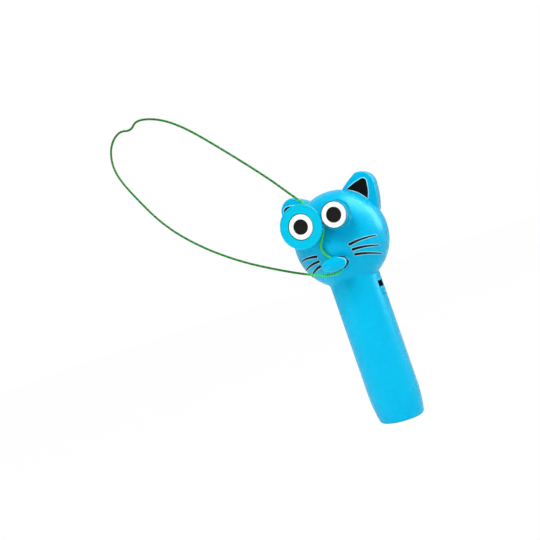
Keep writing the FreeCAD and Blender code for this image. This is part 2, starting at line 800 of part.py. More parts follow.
def right_drum():
    """The finely toothed wheel, with the boss that carries the right eye."""
    rim = []
    for i in range(2 * knurl_count):
        angle = math.pi * i / knurl_count
        radius = knurled_drum_radius - (knurl_depth if i % 2 else 0)
        x = half_spacing + radius * math.cos(angle)
        rim.append(V(x, knurl_front, wheel_height + radius * math.sin(angle)))
    knurled = Part.Face(Part.makePolygon(rim + rim[:1])).extrude(V(0, wheel_back - knurl_front, 0))
    drum = drum_core(half_spacing, knurl_front, knurled_drum_radius - knurl_depth).fuse(
        knurled.cut(cylinder_y(half_spacing, wheel_height, -far, 0, knurled_drum_radius - drum_wall)))
    profile = [(0, right_eye_front), (eye_boss_radius - eye_boss_bevel, right_eye_front),
               (eye_boss_radius, right_eye_front + eye_boss_bevel), (eye_boss_radius, knurl_front),
               (0, knurl_front)]
    boss = turned(half_spacing, wheel_height, profile)
    drum = drum.fuse(boss).cut(eye_recess(half_spacing, right_eye_front))
    shaft_front = knurl_front - shaft_in_wheel
    return tidy(drum.cut(cylinder_y(half_spacing, wheel_height, shaft_front, 0, shaft_radius)))


def eye(x, front):
    disc = cylinder_y(x, wheel_height, front, front + eye_thickness, eye_radius)
    recess_radius = pupil_radius + pupil_clearance
    return disc.cut(cylinder_y(x, wheel_height, front - 1, front + pupil_inlay, recess_radius))


def pupil(x, front):
    back = front + pupil_inlay
    return cylinder_y(x, wheel_height, back - pupil_thickness, back, pupil_radius)


def bush(x):
    ring = cylinder_y(x, wheel_height, tower_front, tower_front + bush_length, bush_radius)
    return ring.cut(cylinder_y(x, wheel_height, tower_front - 1, 0, bush_bore))


def involute(angle):
    return math.tan(angle) - angle


def gear(axis, teeth, first_tooth, y_low, y_high, bore):
    """A spur gear about an axis along Y, with stub involute teeth."""
    pitch = gear_module * teeth / 2
    base = pitch * math.cos(math.radians(pressure_angle))
    tip = pitch + 0.8 * gear_module
    root = pitch - 1.1 * gear_module
    half_tooth = math.pi / (2 * teeth) - gear_backlash / (2 * pitch)

    def flank_angle(radius):
        angle = math.acos(min(1.0, base / radius))
        return half_tooth + involute(math.radians(pressure_angle)) - involute(angle)

    def point(radius, angle):
        return V(axis.x + radius * math.cos(angle), y_low, axis.z + radius * math.sin(angle))

    foot = max(base, root)
    middle = (foot + tip) / 2
    step = 2 * math.pi / teeth
    edges = []
    for i in range(teeth):
        centre = first_tooth + i * step
        start = point(foot, centre - flank_angle(foot))
        tip_start = point(tip, centre - flank_angle(tip))
        tip_end = point(tip, centre + flank_angle(tip))
        end = point(foot, centre + flank_angle(foot))
        edges.append(Part.Arc(start, point(middle, centre - flank_angle(middle)), tip_start).toShape())
        edges.append(Part.LineSegment(tip_start, tip_end).toShape())
        edges.append(Part.Arc(tip_end, point(middle, centre + flank_angle(middle)), end).toShape())
        next_start = point(foot, centre + step - flank_angle(foot))
        valley_low = point(root, centre + flank_angle(foot))
        valley_high = point(root, centre + step - flank_angle(foot))
        if foot > root + 0.01:
            edges.append(Part.LineSegment(end, valley_low).toShape())
            edges.append(Part.LineSegment(valley_low, valley_high).toShape())
            edges.append(Part.LineSegment(valley_high, next_start).toShape())
        else:
            edges.append(Part.LineSegment(end, next_start).toShape())
    blank = Part.Face(Part.Wire(edges)).extrude(V(0, y_high - y_low, 0))
    return blank.cut(cylinder_y(axis.x, axis.z, y_low - 1, y_high + 1, bore))


def meshing_tooth(axis, teeth, first_tooth, other_axis, other_teeth):
    """Angle of a tooth on the other gear, so that its gaps take this gear's teeth."""
    direction = math.atan2(other_axis.z - axis.z, other_axis.x - axis.x)
    ahead = teeth * (first_tooth - direction) / (2 * math.pi)
    return direction + math.pi + (0.5 - ahead) * 2 * math.pi / other_teeth


def gear_plate():
    """The plate that carries the back ends of the shafts, the idler's pin and the motor."""
    plate = cylinder_y(0, head_centre, plate_front, plate_back, plate_radius)
    plate = plate.common(whole_slice(-far, far, plate_low, plate_high))
    plate = plate.common(head_solid(wall + plate_edge_gap))
    half = cradle_width / 2
    for side in (1, -1):
        low = pinion_axis.z + side * (motor_flat + motor_cap_step + cradle_wall / 2) - cradle_wall / 2
        plate = plate.fuse(box(pinion_axis.x - half, pinion_axis.x + half, plate_back,
                               plate_back + cradle_length, low, low + cradle_wall))
    for axis in (left_axis, right_axis):
        plate = plate.cut(cylinder_y(axis.x, axis.z, -far, far, plate_hole))
    plate = plate.cut(cylinder_y(idler_axis.x, idler_axis.z, -far, far, shaft_radius))
    plate = plate.cut(cylinder_y(pinion_axis.x, pinion_axis.z, -far, far, motor_boss_radius))
    for place in plate_screw_places:
        plate = plate.cut(cylinder_y(place.x, place.z, -far, far, screw_clear_hole))
    return tidy(plate)


def motor_section(y_low, y_high, radius, flat):
    bar = cylinder_y(pinion_axis.x, pinion_axis.z, y_low, y_high, radius)
    return bar.common(whole_slice(y_low, y_high, pinion_axis.z - flat, pinion_axis.z + flat))


def motor_can():
    can = motor_section(plate_back, motor_cap_front, motor_radius, motor_flat)
    boss_front = plate_back - motor_boss_length
    can = can.fuse(cylinder_y(pinion_axis.x, pinion_axis.z, boss_front, plate_back, motor_boss_radius))
    return tidy(can.cut(cylinder_y(pinion_axis.x, pinion_axis.z, -far, far, motor_bore)))


def motor_cap():
    """The moulded end of the motor with its bearing boss."""
    cap = motor_section(motor_cap_front, motor_end, motor_radius - motor_cap_step,
                        motor_flat - motor_cap_step)
    boss = cylinder_y(pinion_axis.x, pinion_axis.z, motor_end, motor_end + motor_cap_boss, motor_boss_radius)
    cap = cap.fuse(boss)
    cap = cap.cut(cylinder_y(pinion_axis.x, pinion_axis.z, motor_cap_front - 1, motor_end, motor_bore))
    return tidy(cap)


def motor_terminals():
    tabs = []
    half = terminal_thickness / 2
    for side in (-1, 1):
        x = pinion_axis.x + side * terminal_half_spacing
        tabs.append(box(x - terminal_width / 2, x + terminal_width / 2, motor_end,
                        motor_end + terminal_length, terminal_z - half, terminal_z + half))
    return Part.makeCompound(tabs)


def lip_guide():
    """The mouth: a bulging oval cap on a round stem."""
    profile = []
    for step in range(mouth_steps + 1):
        angle = math.pi * step / mouth_steps
        rise = mouth_half_height * math.sin(angle)
        profile.append(V(mouth_half_width * math.cos(angle), mouth_back, mouth_height + rise))
    half_oval = Part.Face(Part.makePolygon(profile + profile[:1]))
    cap = half_oval.revolve(V(0, mouth_back, mouth_height), V(1, 0, 0), 180)
    stem = cylinder_y(0, mouth_height, mouth_back - stem_root, stem_seat, stem_radius)
    return tidy(cap.fuse(stem).cut(cylinder_y(0, mouth_height, mouth_back, 0, screw_radius)))


def ring_of_sides(centre, direction, radius, sides):
    """A regular outline round a cord's end, of the same area as the round section."""
    across = direction.cross(V(0, 0, 1) if abs(direction.z) < abs(direction.x) else V(1, 0, 0)).normalize()
    up = direction.cross(across).normalize()
    corner = radius * math.sqrt(2 * math.pi / (sides * math.sin(2 * math.pi / sides)))
    points = []
    for i in range(sides):
        angle = 2 * math.pi * i / sides
        points.append(centre + across * (corner * math.cos(angle)) + up * (corner * math.sin(angle)))
    return Part.makePolygon(points + points[:1])


def tube(name, points, radius, sides, tight_corners=None):
    """A cord along straight runs, joined by tangent arcs as large as the runs allow."""
    tight_corners = tight_corners or {}
    route = [V(*p) for p in points]
    edges = []
    radii = []
    length = 0.0
    last = route[0]
    for i in range(1, len(route) - 1):
        before = route[i] - route[i - 1]
        after = route[i + 1] - route[i]
        turn = before.getAngle(after)
        bend = tight_corners.get(i, 0.45 * min(before.Length, after.Length) / math.tan(turn / 2))
        cut_back = bend * math.tan(turn / 2)
        start = route[i] - before.normalize() * cut_back
        end = route[i] + after.normalize() * cut_back
        inward = (after - before).normalize()
        middle = route[i] + inward * (bend / math.cos(turn / 2) - bend)
        edges.append(Part.LineSegment(last, start).toShape())
        edges.append(Part.Arc(start, middle, end).toShape())
        length += (start - last).Length + bend * turn
        radii.append(bend)
        last = end
    edges.append(Part.LineSegment(last, route[-1]).toShape())
    length += (route[-1] - last).Length
    path = Part.Wire(edges)
    section = ring_of_sides(route[0], route[1] - route[0], radius, sides)
    solid = path.makePipeShell([section], True, False)
    share = solid.Volume / (math.pi * radius ** 2 * length)
    print(f"{name}: length {length:.1f}, least radius {min(radii):.2f}, volume ratio {share:.4f}")
    return solid


# The string runs up between the wheels, round the left one and out into its loop,
# dips at its join, comes back low to the mouth, passes behind the cap round the
# right of the stem, and swings up into the wheels again.
nip_x = -half_spacing + smooth_drum_radius + string_diameter / 2 + nip_clearance
string_y = (drum_front + wheel_back) / 2
string_route = [
    (-4.7, string_y, wheel_height + 11.47),
    (-12.3, string_y, wheel_height + 21.3),
    (-24.3, string_y, wheel_height + 38.0),
    (-48.9, string_y, wheel_height + 67.5),
    (-70.6, string_y, wheel_height + 92.0),
    (-87.7, string_y, wheel_height + 105.3),
    (-105.2, string_y, wheel_height + 111.6),
    (-111.6, string_y, wheel_height + 106.1),
    (-121.5, string_y, wheel_height + 109.8),
    (-131.5, string_y, wheel_height + 104.0),
    (-136.2, string_y, wheel_height + 92.7),
    (-135.0, string_y, wheel_height + 79.8),
    (-126.7, string_y, wheel_height + 62.1),
    (-111.6, string_y, wheel_height + 35.5),
    (-90.5, string_y, wheel_height + 13.2),
    (-63.8, string_y, wheel_height - 7.0),
    (-35.6, string_y + 0.6, mouth_height + 6.7),
    (-16.6, string_y + 1.6, mouth_height - 2.4),
    (-6.0, string_y + 2.8, mouth_height - 6.0),
    (0.8, string_y + 3.3, mouth_height - 5.8),
    (4.2, string_y + 3.6, mouth_height - 3.0),
    (4.9, string_y + 3.7, mouth_height + 1.0),
    (2.0, string_y + 3.7, mouth_height + 3.9),
    (-2.6, string_y + 3.4, mouth_height + 3.9),
    (-6.6, string_y + 2.4, mouth_height + 11.4),
    (-4.4, string_y + 1.2, wheel_height - 12.9),
    (nip_x, string_y + 0.2, wheel_height - 6.4),
    (nip_x, string_y, wheel_height + 4.8),
    (-4.6, string_y, wheel_height + 11.35),
]
wheel_corner = len(string_route) - 2
string_turn_radius = smooth_drum_radius + string_diameter / 2 + nip_clearance

# Three wires: from a contact to the switch, from the switch to the motor, and from
# the other contact straight to the motor.
tab_wire_y = tab_front - wire_radius - wire_gap
tag_wire_x = switch_back_x - switch_tag / 2
tag_low = switch_middle - switch_tag_rise - contact_thickness / 2
tag_high = switch_middle + switch_tag_rise + contact_thickness / 2
motor_wire_x = pinion_axis.x + terminal_half_spacing
return_wire_x = pinion_axis.x - terminal_half_spacing
motor_wire_y = motor_end + terminal_length / 2
motor_wire_top = terminal_z - terminal_thickness / 2
wire_foot = bay_top + rib_thickness + wire_gap
switch_wire_route = [
    (cell_x, tab_wire_y, wire_foot),
    (cell_x, tab_wire_y, wire_foot + 4.4),
    (cell_x - 0.5, tab_wire_y + 1.9, wire_foot + 9.6),
    (tag_wire_x + 0.5, slot_y - 2.8, tag_low - 7.2),
    (tag_wire_x, slot_y, tag_low - 3.6),
    (tag_wire_x, slot_y, tag_low),
]
motor_wire_route = [
    (tag_wire_x, slot_y, tag_high),
    (tag_wire_x, slot_y, tag_high + 4.0),
    (tag_wire_x - 0.9, slot_y + 2.4, tag_high + 10.4),
    (3.4, 5.6, tag_high + 18.0),
    (1.5, 10.0, motor_wire_top - 12.6),
    (motor_wire_x, motor_wire_y, motor_wire_top - 6.0),
    (motor_wire_x, motor_wire_y, motor_wire_top),
]
return_wire_route = [
    (-cell_x, tab_wire_y, wire_foot),
    (-cell_x, tab_wire_y, wire_foot + 4.6),
    (-cell_x - 0.7, tab_wire_y + 2.9, wire_foot + 12.8),
    (-cell_x - 1.9, tab_wire_y + 7.8, wire_foot + 23.0),
    (-9.6, 4.0, motor_wire_top - 30.0),
    (-9.0, 9.6, motor_wire_top - 18.6),
    (return_wire_x, motor_wire_y, motor_wire_top - 8.2),
    (return_wire_x, motor_wire_y, motor_wire_top),
]


def build():
    os.makedirs("parts", exist_ok=True)
    outside = casing_outside()
    right_ear = ear_solid()
    outside = outside.fuse(right_ear).fuse(mirrored(right_ear))
    hollow = casing_inside(wall).fuse(ear_pocket()).fuse(mirrored(ear_pocket()))
    export("front_shell", front_shell(outside, hollow))
    export("rear_shell", rear_shell(outside, hollow))
    insert = slab(ear_insert_face(), ear_front + ear_recess - ear_insert_thickness, ear_front + ear_recess)
    export("right_ear_insert", insert)
    export("left_ear_insert", mirrored(insert))
    strokes = whiskers()
    export("right_whiskers", strokes)
    export("left_whiskers", mirrored(strokes))
    export("lip_guide", lip_guide())
    lip_screw_length = boss_back - mouth_back - lip_screw_end
    export("lip_screw", pan_screw(0, mouth_height, boss_back, lip_screw_length, screw_radius,
                                  screw_head_radius, screw_head_height))
    export("battery_door", battery_door())
    export("door_screw", pan_screw(0, door_screw_z, door_screw_seat, door_screw_length, door_screw_radius,
                                   door_screw_head, door_screw_head_height))
    screws = [pan_screw(p.x, p.z, case_screw_head, screw_length, screw_radius, screw_head_radius,
                        screw_head_height) for p in case_screw_places]
    export("case_screws", Part.makeCompound(screws))
    export("left_cell", cell(-cell_x, True))
    export("right_cell", cell(cell_x, False))
    export("lower_contact", lower_contact())
    export("left_upper_contact", upper_contact(-cell_x))
    export("right_upper_contact", upper_contact(cell_x))
    export("switch_body", switch_body())
    export("switch_knob", switch_knob())
    export("gear_plate", gear_plate())
    screws = [pan_screw(p.x, p.z, plate_back, plate_thickness + plate_screw_length, screw_radius,
                        screw_head_radius, screw_head_height) for p in plate_screw_places]
    export("plate_screws", Part.makeCompound(screws))
    export("left_bush", bush(-half_spacing))
    export("right_bush", bush(half_spacing))
    export("left_flange", left_flange())
    export("left_drum", left_drum())
    export("left_eye", eye(-half_spacing, flange_front))
    export("left_pupil", pupil(-half_spacing, flange_front))
    shaft_back = plate_back + shaft_past_plate
    shaft_front = drum_front - shaft_in_wheel
    export("left_shaft", cylinder_y(-half_spacing, wheel_height, shaft_front, shaft_back, shaft_radius))
    export("right_drum", right_drum())
    export("right_eye", eye(half_spacing, right_eye_front))
    export("right_pupil", pupil(half_spacing, right_eye_front))
    shaft_front = knurl_front - shaft_in_wheel
    export("right_shaft", cylinder_y(half_spacing, wheel_height, shaft_front, shaft_back, shaft_radius))
    left_tooth = math.pi / 2
    pinion_tooth = meshing_tooth(left_axis, wheel_teeth, left_tooth, pinion_axis, pinion_teeth)
    idler_tooth = meshing_tooth(pinion_axis, pinion_teeth, pinion_tooth, idler_axis, idler_teeth)
    right_tooth = meshing_tooth(idler_axis, idler_teeth, idler_tooth, right_axis, wheel_teeth)
    export("left_gear", gear(left_axis, wheel_teeth, left_tooth, gear_front, gear_back, shaft_radius))
    export("right_gear", gear(right_axis, wheel_teeth, right_tooth, gear_front, gear_back, shaft_radius))
    export("idler_gear", gear(idler_axis, idler_teeth, idler_tooth, gear_front, gear_back, plate_hole))
    pin = cylinder_y(idler_axis.x, idler_axis.z, gear_front - gear_gap, plate_back, shaft_radius)
    pin = pin.fuse(cylinder_y(idler_axis.x, idler_axis.z, gear_front - gear_gap - idler_pin_head_height,
                              gear_front - gear_gap, idler_pin_head))
    export("idler_pin", tidy(pin))
    export("motor_can", motor_can())
    export("motor_cap", motor_cap())
    export("motor_terminals", motor_terminals())
    export("motor_shaft", cylinder_y(pinion_axis.x, pinion_axis.z, gear_front - gear_gap,
                                     motor_end - gear_gap, shaft_radius))
    export("motor_pinion", gear(pinion_axis, pinion_teeth, pinion_tooth, gear_front, gear_back, shaft_radius))
    tight_corners = {wheel_corner: string_turn_radius}
    export("string", tube("string", string_route, string_diameter / 2, string_sides, tight_corners))
    export("switch_wire", tube("switch_wire", switch_wire_route, wire_radius, wire_sides))
    export("motor_wire", tube("motor_wire", motor_wire_route, wire_radius, wire_sides))
    export("return_wire", tube("return_wire", return_wire_route, wire_radius, wire_sides))
    print("pinion axis", pinion_axis, "idler axis", idler_axis)
    print("bay top", bay_top, "door", door_low, door_high, "screw", door_screw_z, "travel", knob_travel)


build()
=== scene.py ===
import math

import bmesh
import bpy
from mathutils import Matrix, Vector


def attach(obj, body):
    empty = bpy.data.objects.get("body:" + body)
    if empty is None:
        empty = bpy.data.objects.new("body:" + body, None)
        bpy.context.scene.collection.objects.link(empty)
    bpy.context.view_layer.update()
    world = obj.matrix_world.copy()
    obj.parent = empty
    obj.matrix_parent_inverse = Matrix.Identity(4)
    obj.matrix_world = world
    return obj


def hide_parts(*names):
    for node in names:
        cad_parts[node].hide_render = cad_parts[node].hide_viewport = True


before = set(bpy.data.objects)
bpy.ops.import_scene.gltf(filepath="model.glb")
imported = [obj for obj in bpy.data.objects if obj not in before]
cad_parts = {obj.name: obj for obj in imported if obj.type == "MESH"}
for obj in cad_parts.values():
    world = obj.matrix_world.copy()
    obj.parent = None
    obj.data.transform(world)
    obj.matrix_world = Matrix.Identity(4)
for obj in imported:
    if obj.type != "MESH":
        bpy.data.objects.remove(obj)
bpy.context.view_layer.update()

# The room: a camera as high as the cat's face, turned on its own axis so that the toy
# leans across the picture. The floor and surround are plain white. Soft lights stand in
# front, low on the left and overhead, and two more show only as a sheen on the right.
camera_data = bpy.data.cameras.new("camera")
camera_data.sensor_width = 36.0
camera_data.lens = 45.53
camera_data.clip_start = 0.01
camera = bpy.data.objects.new("camera", camera_data)
scene = bpy.context.scene
scene.collection.objects.link(camera)
camera_place = Vector((0.1500, -0.4350, 0.1153))
camera_aim = Vector((-0.0435, -0.0288, 0.1216))
towards_aim = (camera_aim - camera_place).to_track_quat("-Z", "Y").to_matrix().to_4x4()
camera_lean = Matrix.Rotation(math.radians(-19.0), 4, "Z")
camera.matrix_world = Matrix.Translation(camera_place) @ towards_aim @ camera_lean
scene.camera = camera
scene.view_settings.view_transform = "Standard"

face_middle = Vector((0.0, -0.01, 0.126))


def soft_light(name, place, width, height, power, in_gloss=True, on_matt=True):
    """A rectangular studio light that looks at the cat's face, with or without a glare."""
    light_data = bpy.data.lights.new(name, "AREA")
    light_data.shape = "RECTANGLE"
    light_data.size = width
    light_data.size_y = height
    light_data.energy = power
    light = bpy.data.objects.new(name, light_data)
    scene.collection.objects.link(light)
    light.visible_glossy = in_gloss
    light.visible_diffuse = on_matt
    light.location = place
    light.rotation_euler = (face_middle - Vector(place)).to_track_quat("-Z", "Y").to_euler()


soft_light("front_light", (0.20, -0.99, 1.37), 0.68, 0.68, 17.6, in_gloss=False)
soft_light("side_light", (-0.60, -0.55, 0.02), 0.40, 0.60, 3.2, in_gloss=False)
soft_light("overhead_light", (0.62, 0.08, 0.79), 0.40, 1.20, 4.6, in_gloss=False)
soft_light("top_glare", (0.56, -0.05, 0.83), 0.45, 0.70, 11.0, on_matt=False)
soft_light("right_glare", (0.86, 0.13, 0.35), 0.55, 0.60, 12.0, on_matt=False)


class Value:
    """A number, colour or vector on its way through a tree of nodes."""

    def __init__(self, tree, socket):
        self.tree = tree
        self.socket = socket

    def maths(self, operation, *others):
        inputs = dict(enumerate((self, *others)))
        return self.tree.node("ShaderNodeMath", {"operation": operation}, inputs)

    def __add__(self, other):
        return self.maths("ADD", other)

    def __sub__(self, other):
        return self.maths("SUBTRACT", other)

    def __rsub__(self, other):
        return self.tree.node("ShaderNodeMath", {"operation": "SUBTRACT"}, {0: other, 1: self})

    def __mul__(self, other):
        return self.maths("MULTIPLY", other)

    def __truediv__(self, other):
        return self.maths("DIVIDE", other)

    def __pow__(self, other):
        return self.maths("POWER", other)

    def __lt__(self, other):
        return self.maths("LESS_THAN", other)

    def __gt__(self, other):
        return self.maths("GREATER_THAN", other)

    def __abs__(self):
        return self.maths("ABSOLUTE")

    __radd__ = __add__
    __rmul__ = __mul__


class NodeTree:
    """A tree of nodes, all of which come from one method."""

    def __init__(self, tree):
        self.tree = tree

    def node(self, kind, settings=None, inputs=None, output=0):
        """A new node with its settings and inputs, given back as one of its outputs."""
        made = self.tree.nodes.new(kind)
        for name, setting in (settings or {}).items():
            setattr(made, name, setting)
        for name, value in (inputs or {}).items():
            self.feed(made.inputs[name], value)
        return Value(self, made.outputs[output])

    def feed(self, socket, value):
        """A socket takes a value, or links from one Value or from a list of them."""
        if isinstance(value, list):
            for each in value:
                self.feed(socket, each)
        elif isinstance(value, Value):
            self.tree.links.new(value.socket, socket)
        else:
            socket.default_value = value


class Finish(NodeTree):
    """A surface finish round one Principled surface. Constants go on its own sockets."""

    def __init__(self, name, **constants):
        self.material = bpy.data.materials.new(name)
        self.material.use_nodes = True
        super().__init__(self.material.node_tree)
        self.surface = self.tree.nodes["Principled BSDF"]
        for socket, value in constants.items():
            self.surface.inputs[socket.replace("_", " ")].default_value = value

    def set(self, socket, value):
        self.feed(self.surface.inputs[socket], value)

    def place(self):
        """Where a point lies on the piece, in metres."""
        return self.node("ShaderNodeTexCoord", output="Object")

    def x_y_z(self):
        """That place's three coordinates, in millimetres."""
        place = self.place()
        return [self.node("ShaderNodeSeparateXYZ", inputs={0: place}, output=axis) * 1000.0
                for axis in range(3)]

    def noise(self, size, detail=2.0, stretch=(1.0, 1.0, 1.0)):
        """A cloudy number from 0 to 1, with blotches of about that many millimetres."""
        place = self.node("ShaderNodeVectorMath", {"operation": "MULTIPLY"}, {
            0: self.place(), 1: stretch})
        return self.node("ShaderNodeTexNoise", inputs={
            "Vector": place, "Scale": 1000.0 / size, "Detail": detail})

    def mix(self, share, colour_a, colour_b):
        """The first colour, with that share of the second."""
        return self.node("ShaderNodeMix", {"data_type": "RGBA"}, {
            0: share, 6: colour_a, 7: colour_b}, output=2)

    def relief(self, height, depth, strength=1.0):
        """A relief that many millimetres deep, from heights between 0 and 1."""
        self.set("Normal", self.node("ShaderNodeBump", inputs={
            "Height": height, "Distance": depth / 1000.0, "Strength": strength}))


def paint(red, green, blue):
    """A colour as a picture stores it, from 0 to 255, made linear."""
    channels = []
    for stored in (red, green, blue):
        share = stored / 255
        channels.append(share / 12.92 if share <= 0.04045 else ((share + 0.055) / 1.055) ** 2.4)
    return (*channels, 1.0)


def seen_as(tree, lit, shown, in_gloss):
    """A level for each kind of ray: those that light, those that show, and those in gloss."""
    camera_ray = tree.node("ShaderNodeLightPath", output="Is Camera Ray")
    glossy_ray = tree.node("ShaderNodeLightPath", output="Is Glossy Ray")
    through_ray = tree.node("ShaderNodeLightPath", output="Is Transmission Ray")
    straight = lit + (shown - lit) * camera_ray.maths("MAXIMUM", through_ray)
    return (1.0 - glossy_ray) * straight + glossy_ray * in_gloss


white = (1.0, 1.0, 1.0, 1.0)
surround_light = 0.26
gloss_in_front = 0.06
gloss_behind = 0.6
floor_shown = 0.985
floor_in_gloss = 0.3
world = bpy.data.worlds.new("surround")
world.use_nodes = True
scene.world = world
surround = NodeTree(world.node_tree)
background = world.node_tree.nodes["Background"]
background.inputs["Color"].default_value = white
direction = surround.node("ShaderNodeTexCoord", output="Object")
towards_back = surround.node("ShaderNodeSeparateXYZ", inputs={0: direction}, output=1)
in_gloss = surround.node("ShaderNodeMapRange", {"interpolation_type": "SMOOTHSTEP"}, {
    "Value": towards_back, "From Min": -0.3, "From Max": 0.6,
    "To Min": gloss_in_front, "To Max": gloss_behind})
surround.feed(background.inputs["Strength"], seen_as(surround, surround_light, 1.0, in_gloss))

floor_finish = Finish("white_floor", Base_Color=(0.88, 0.88, 0.88, 1.0), Roughness=0.9)
floor_glow = floor_finish.node("ShaderNodeEmission", inputs={"Color": white, "Strength": 1.0})
floor_look = floor_finish.node("ShaderNodeMixShader", inputs={
    0: seen_as(floor_finish, 0.0, floor_shown, floor_in_gloss),
    1: Value(floor_finish, floor_finish.surface.outputs[0]),
    2: floor_glow,
})
floor_finish.feed(floor_finish.tree.nodes["Material Output"].inputs["Surface"], floor_look)


def piece_from(shape, name, finish, sharp_from=35.0):
    """An object from a shape in millimetres: normals outward, smooth up to that angle."""
    bmesh.ops.remove_doubles(shape, verts=shape.verts, dist=0.0001)
    bmesh.ops.recalc_face_normals(shape, faces=shape.faces)
    bmesh.ops.scale(shape, vec=(0.001, 0.001, 0.001), verts=shape.verts)
    for face in shape.faces:
        face.smooth = True
    for edge in shape.edges:
        edge.smooth = edge.calc_face_angle(0.0) < math.radians(sharp_from)
    data = bpy.data.meshes.new(name)
    shape.to_mesh(data)
    shape.free()
    data.materials.append(finish.material)
    made = bpy.data.objects.new(name, data)
    scene.collection.objects.link(made)
    return made


floor_half_size = 3000.0
floor_height = -0.2
floor_shape = bmesh.new()
bmesh.ops.create_grid(floor_shape, x_segments=1, y_segments=1, size=floor_half_size,
                      matrix=Matrix.Translation((0.0, 0.0, floor_height)))
piece_from(floor_shape, "floor", floor_finish)

# Casing: two moulded halves of glossy sky-blue plastic, which four screws hold
# together, and the battery door of the same moulding. The plastic has a faint swirl
# and a slightly uneven gloss, and the walls of the slot for the switch are painted
# black as shade.
sky_blue = paint(0, 188, 232)
shade_blue = paint(0, 180, 225)
swirl_size = 24.0
# Near-black for the black mouldings, and for painted shade in the switch slot, on the button's
# flange and on the mouth.
shade_and_trim_black = paint(8, 9, 9)
worn_black = paint(20, 21, 20)
slot_place_y = -2.6
slot_half_width = 2.76
slot_middle = 87.35
slot_half_length = 4.71


def blue_plastic(name, roughness, colour_a=sky_blue, colour_b=shade_blue, blotch=swirl_size):
    """Glossy moulded plastic, blotched in two blues. Their mix is kept as its colour."""
    finish = Finish(name, IOR=1.46, Specular_IOR_Level=0.5, Specular_Tint=(0.16, 0.6, 0.8, 1.0))
    finish.colour = finish.mix(finish.noise(blotch, 3.0), colour_a, colour_b)
    finish.set("Base Color", finish.colour)
    finish.set("Roughness", roughness + 0.06 * finish.noise(6.0, 3.0))
    finish.relief(finish.noise(2.0), 0.02, 0.08)
    return finish


def dress(node, finish):
    """A solid of the frame keeps its shape and gets its finish."""
    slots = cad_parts[node].data.materials
    slots.clear()
    slots.append(finish.material)


casing_blue = blue_plastic("casing_blue", 0.24)
x, y, z = casing_blue.x_y_z()
# Painted shade: the casing is painted black on the walls of the switch slot.
beside_slot = (x > 0.0) * (abs(y - slot_place_y) < slot_half_width)
slot_painted_shade = beside_slot * (abs(z - slot_middle) < slot_half_length)
casing_blue.set("Base Color", casing_blue.mix(slot_painted_shade, casing_blue.colour, shade_and_trim_black))
for moulding in ("front_shell", "rear_shell", "battery_door"):
    dress(moulding, casing_blue)

# Ear insides: flat black mouldings, pressed into the front of the ears. Their faces are
# satin, and round each runs a fine bead of the casing, painted paler as a highlight.
trim_black = Finish("trim_black", Specular_IOR_Level=0.15)
trim_black.set("Base Color", trim_black.mix(trim_black.noise(2.5, 3.0), shade_and_trim_black, worn_black))
trim_black.set("Roughness", 0.36 + 0.2 * trim_black.noise(0.8, 4.0))
trim_black.relief(trim_black.noise(0.35, 2.0), 0.02, 0.5)
# Painted highlight: pale blue for the beads round the ears and the lips of the whiskers.
bead_blue = blue_plastic("bead_blue", 0.2, paint(176, 234, 248), paint(140, 220, 242), 3.0)
bead_radius = 0.34
ear_front = -2.0
inset_front = -2.2
inset_back = -1.0
inset_round = 0.15
ear_middle = Vector((21.084, 151.126))
# Corners and the points that the arcs between them pass through, outwards and upwards
# from the middle of the ear. The left one reaches further out.
ear_outlines = {
    "left": [(-5.8, 4.2), (0.9, 6.7), (6.6, 7.9), (9.9, 7.0),
             (11.1, 3.6), (10.2, -1.4), (7.2, -6.7), (2.0, -1.5)],
    "right": [(-5.8, 4.2), (0.9, 6.7), (6.5, 7.7), (8.4, 6.8),
              (8.9, 3.6), (8.1, -1.6), (6.0, -6.7), (2.0, -1.5)],
}


def arc_through(first, middle, last, steps=8):
    """Points on the arc through three points, without the last one."""
    (ax, ay), (bx, by), (cx, cy) = first, middle, last
    span = 2 * (ax * (by - cy) + bx * (cy - ay) + cx * (ay - by))
    squares = (ax * ax + ay * ay, bx * bx + by * by, cx * cx + cy * cy)
    centre = Vector((
        (squares[0] * (by - cy) + squares[1] * (cy - ay) + squares[2] * (ay - by)) / span,
        (squares[0] * (cx - bx) + squares[1] * (ax - cx) + squares[2] * (bx - ax)) / span,
    ))
    start, halfway, end = (Vector(place) - centre for place in (first, middle, last))
    turn = halfway.angle_signed(start) + end.angle_signed(halfway)
    return [centre + Matrix.Rotation(turn * i / steps, 2) @ start for i in range(steps)]


def skin_between(shape, rings, sides):
    """Faces from ring to ring, each of that many points or of one at a pole."""
    for ring, following in zip(rings, rings[1:]):
        for i in range(sides):
            corners = [ring[i % len(ring)], ring[(i + 1) % len(ring)],
                       following[(i + 1) % len(following)], following[i % len(following)]]
            shape.faces.new(list(dict.fromkeys(corners)))


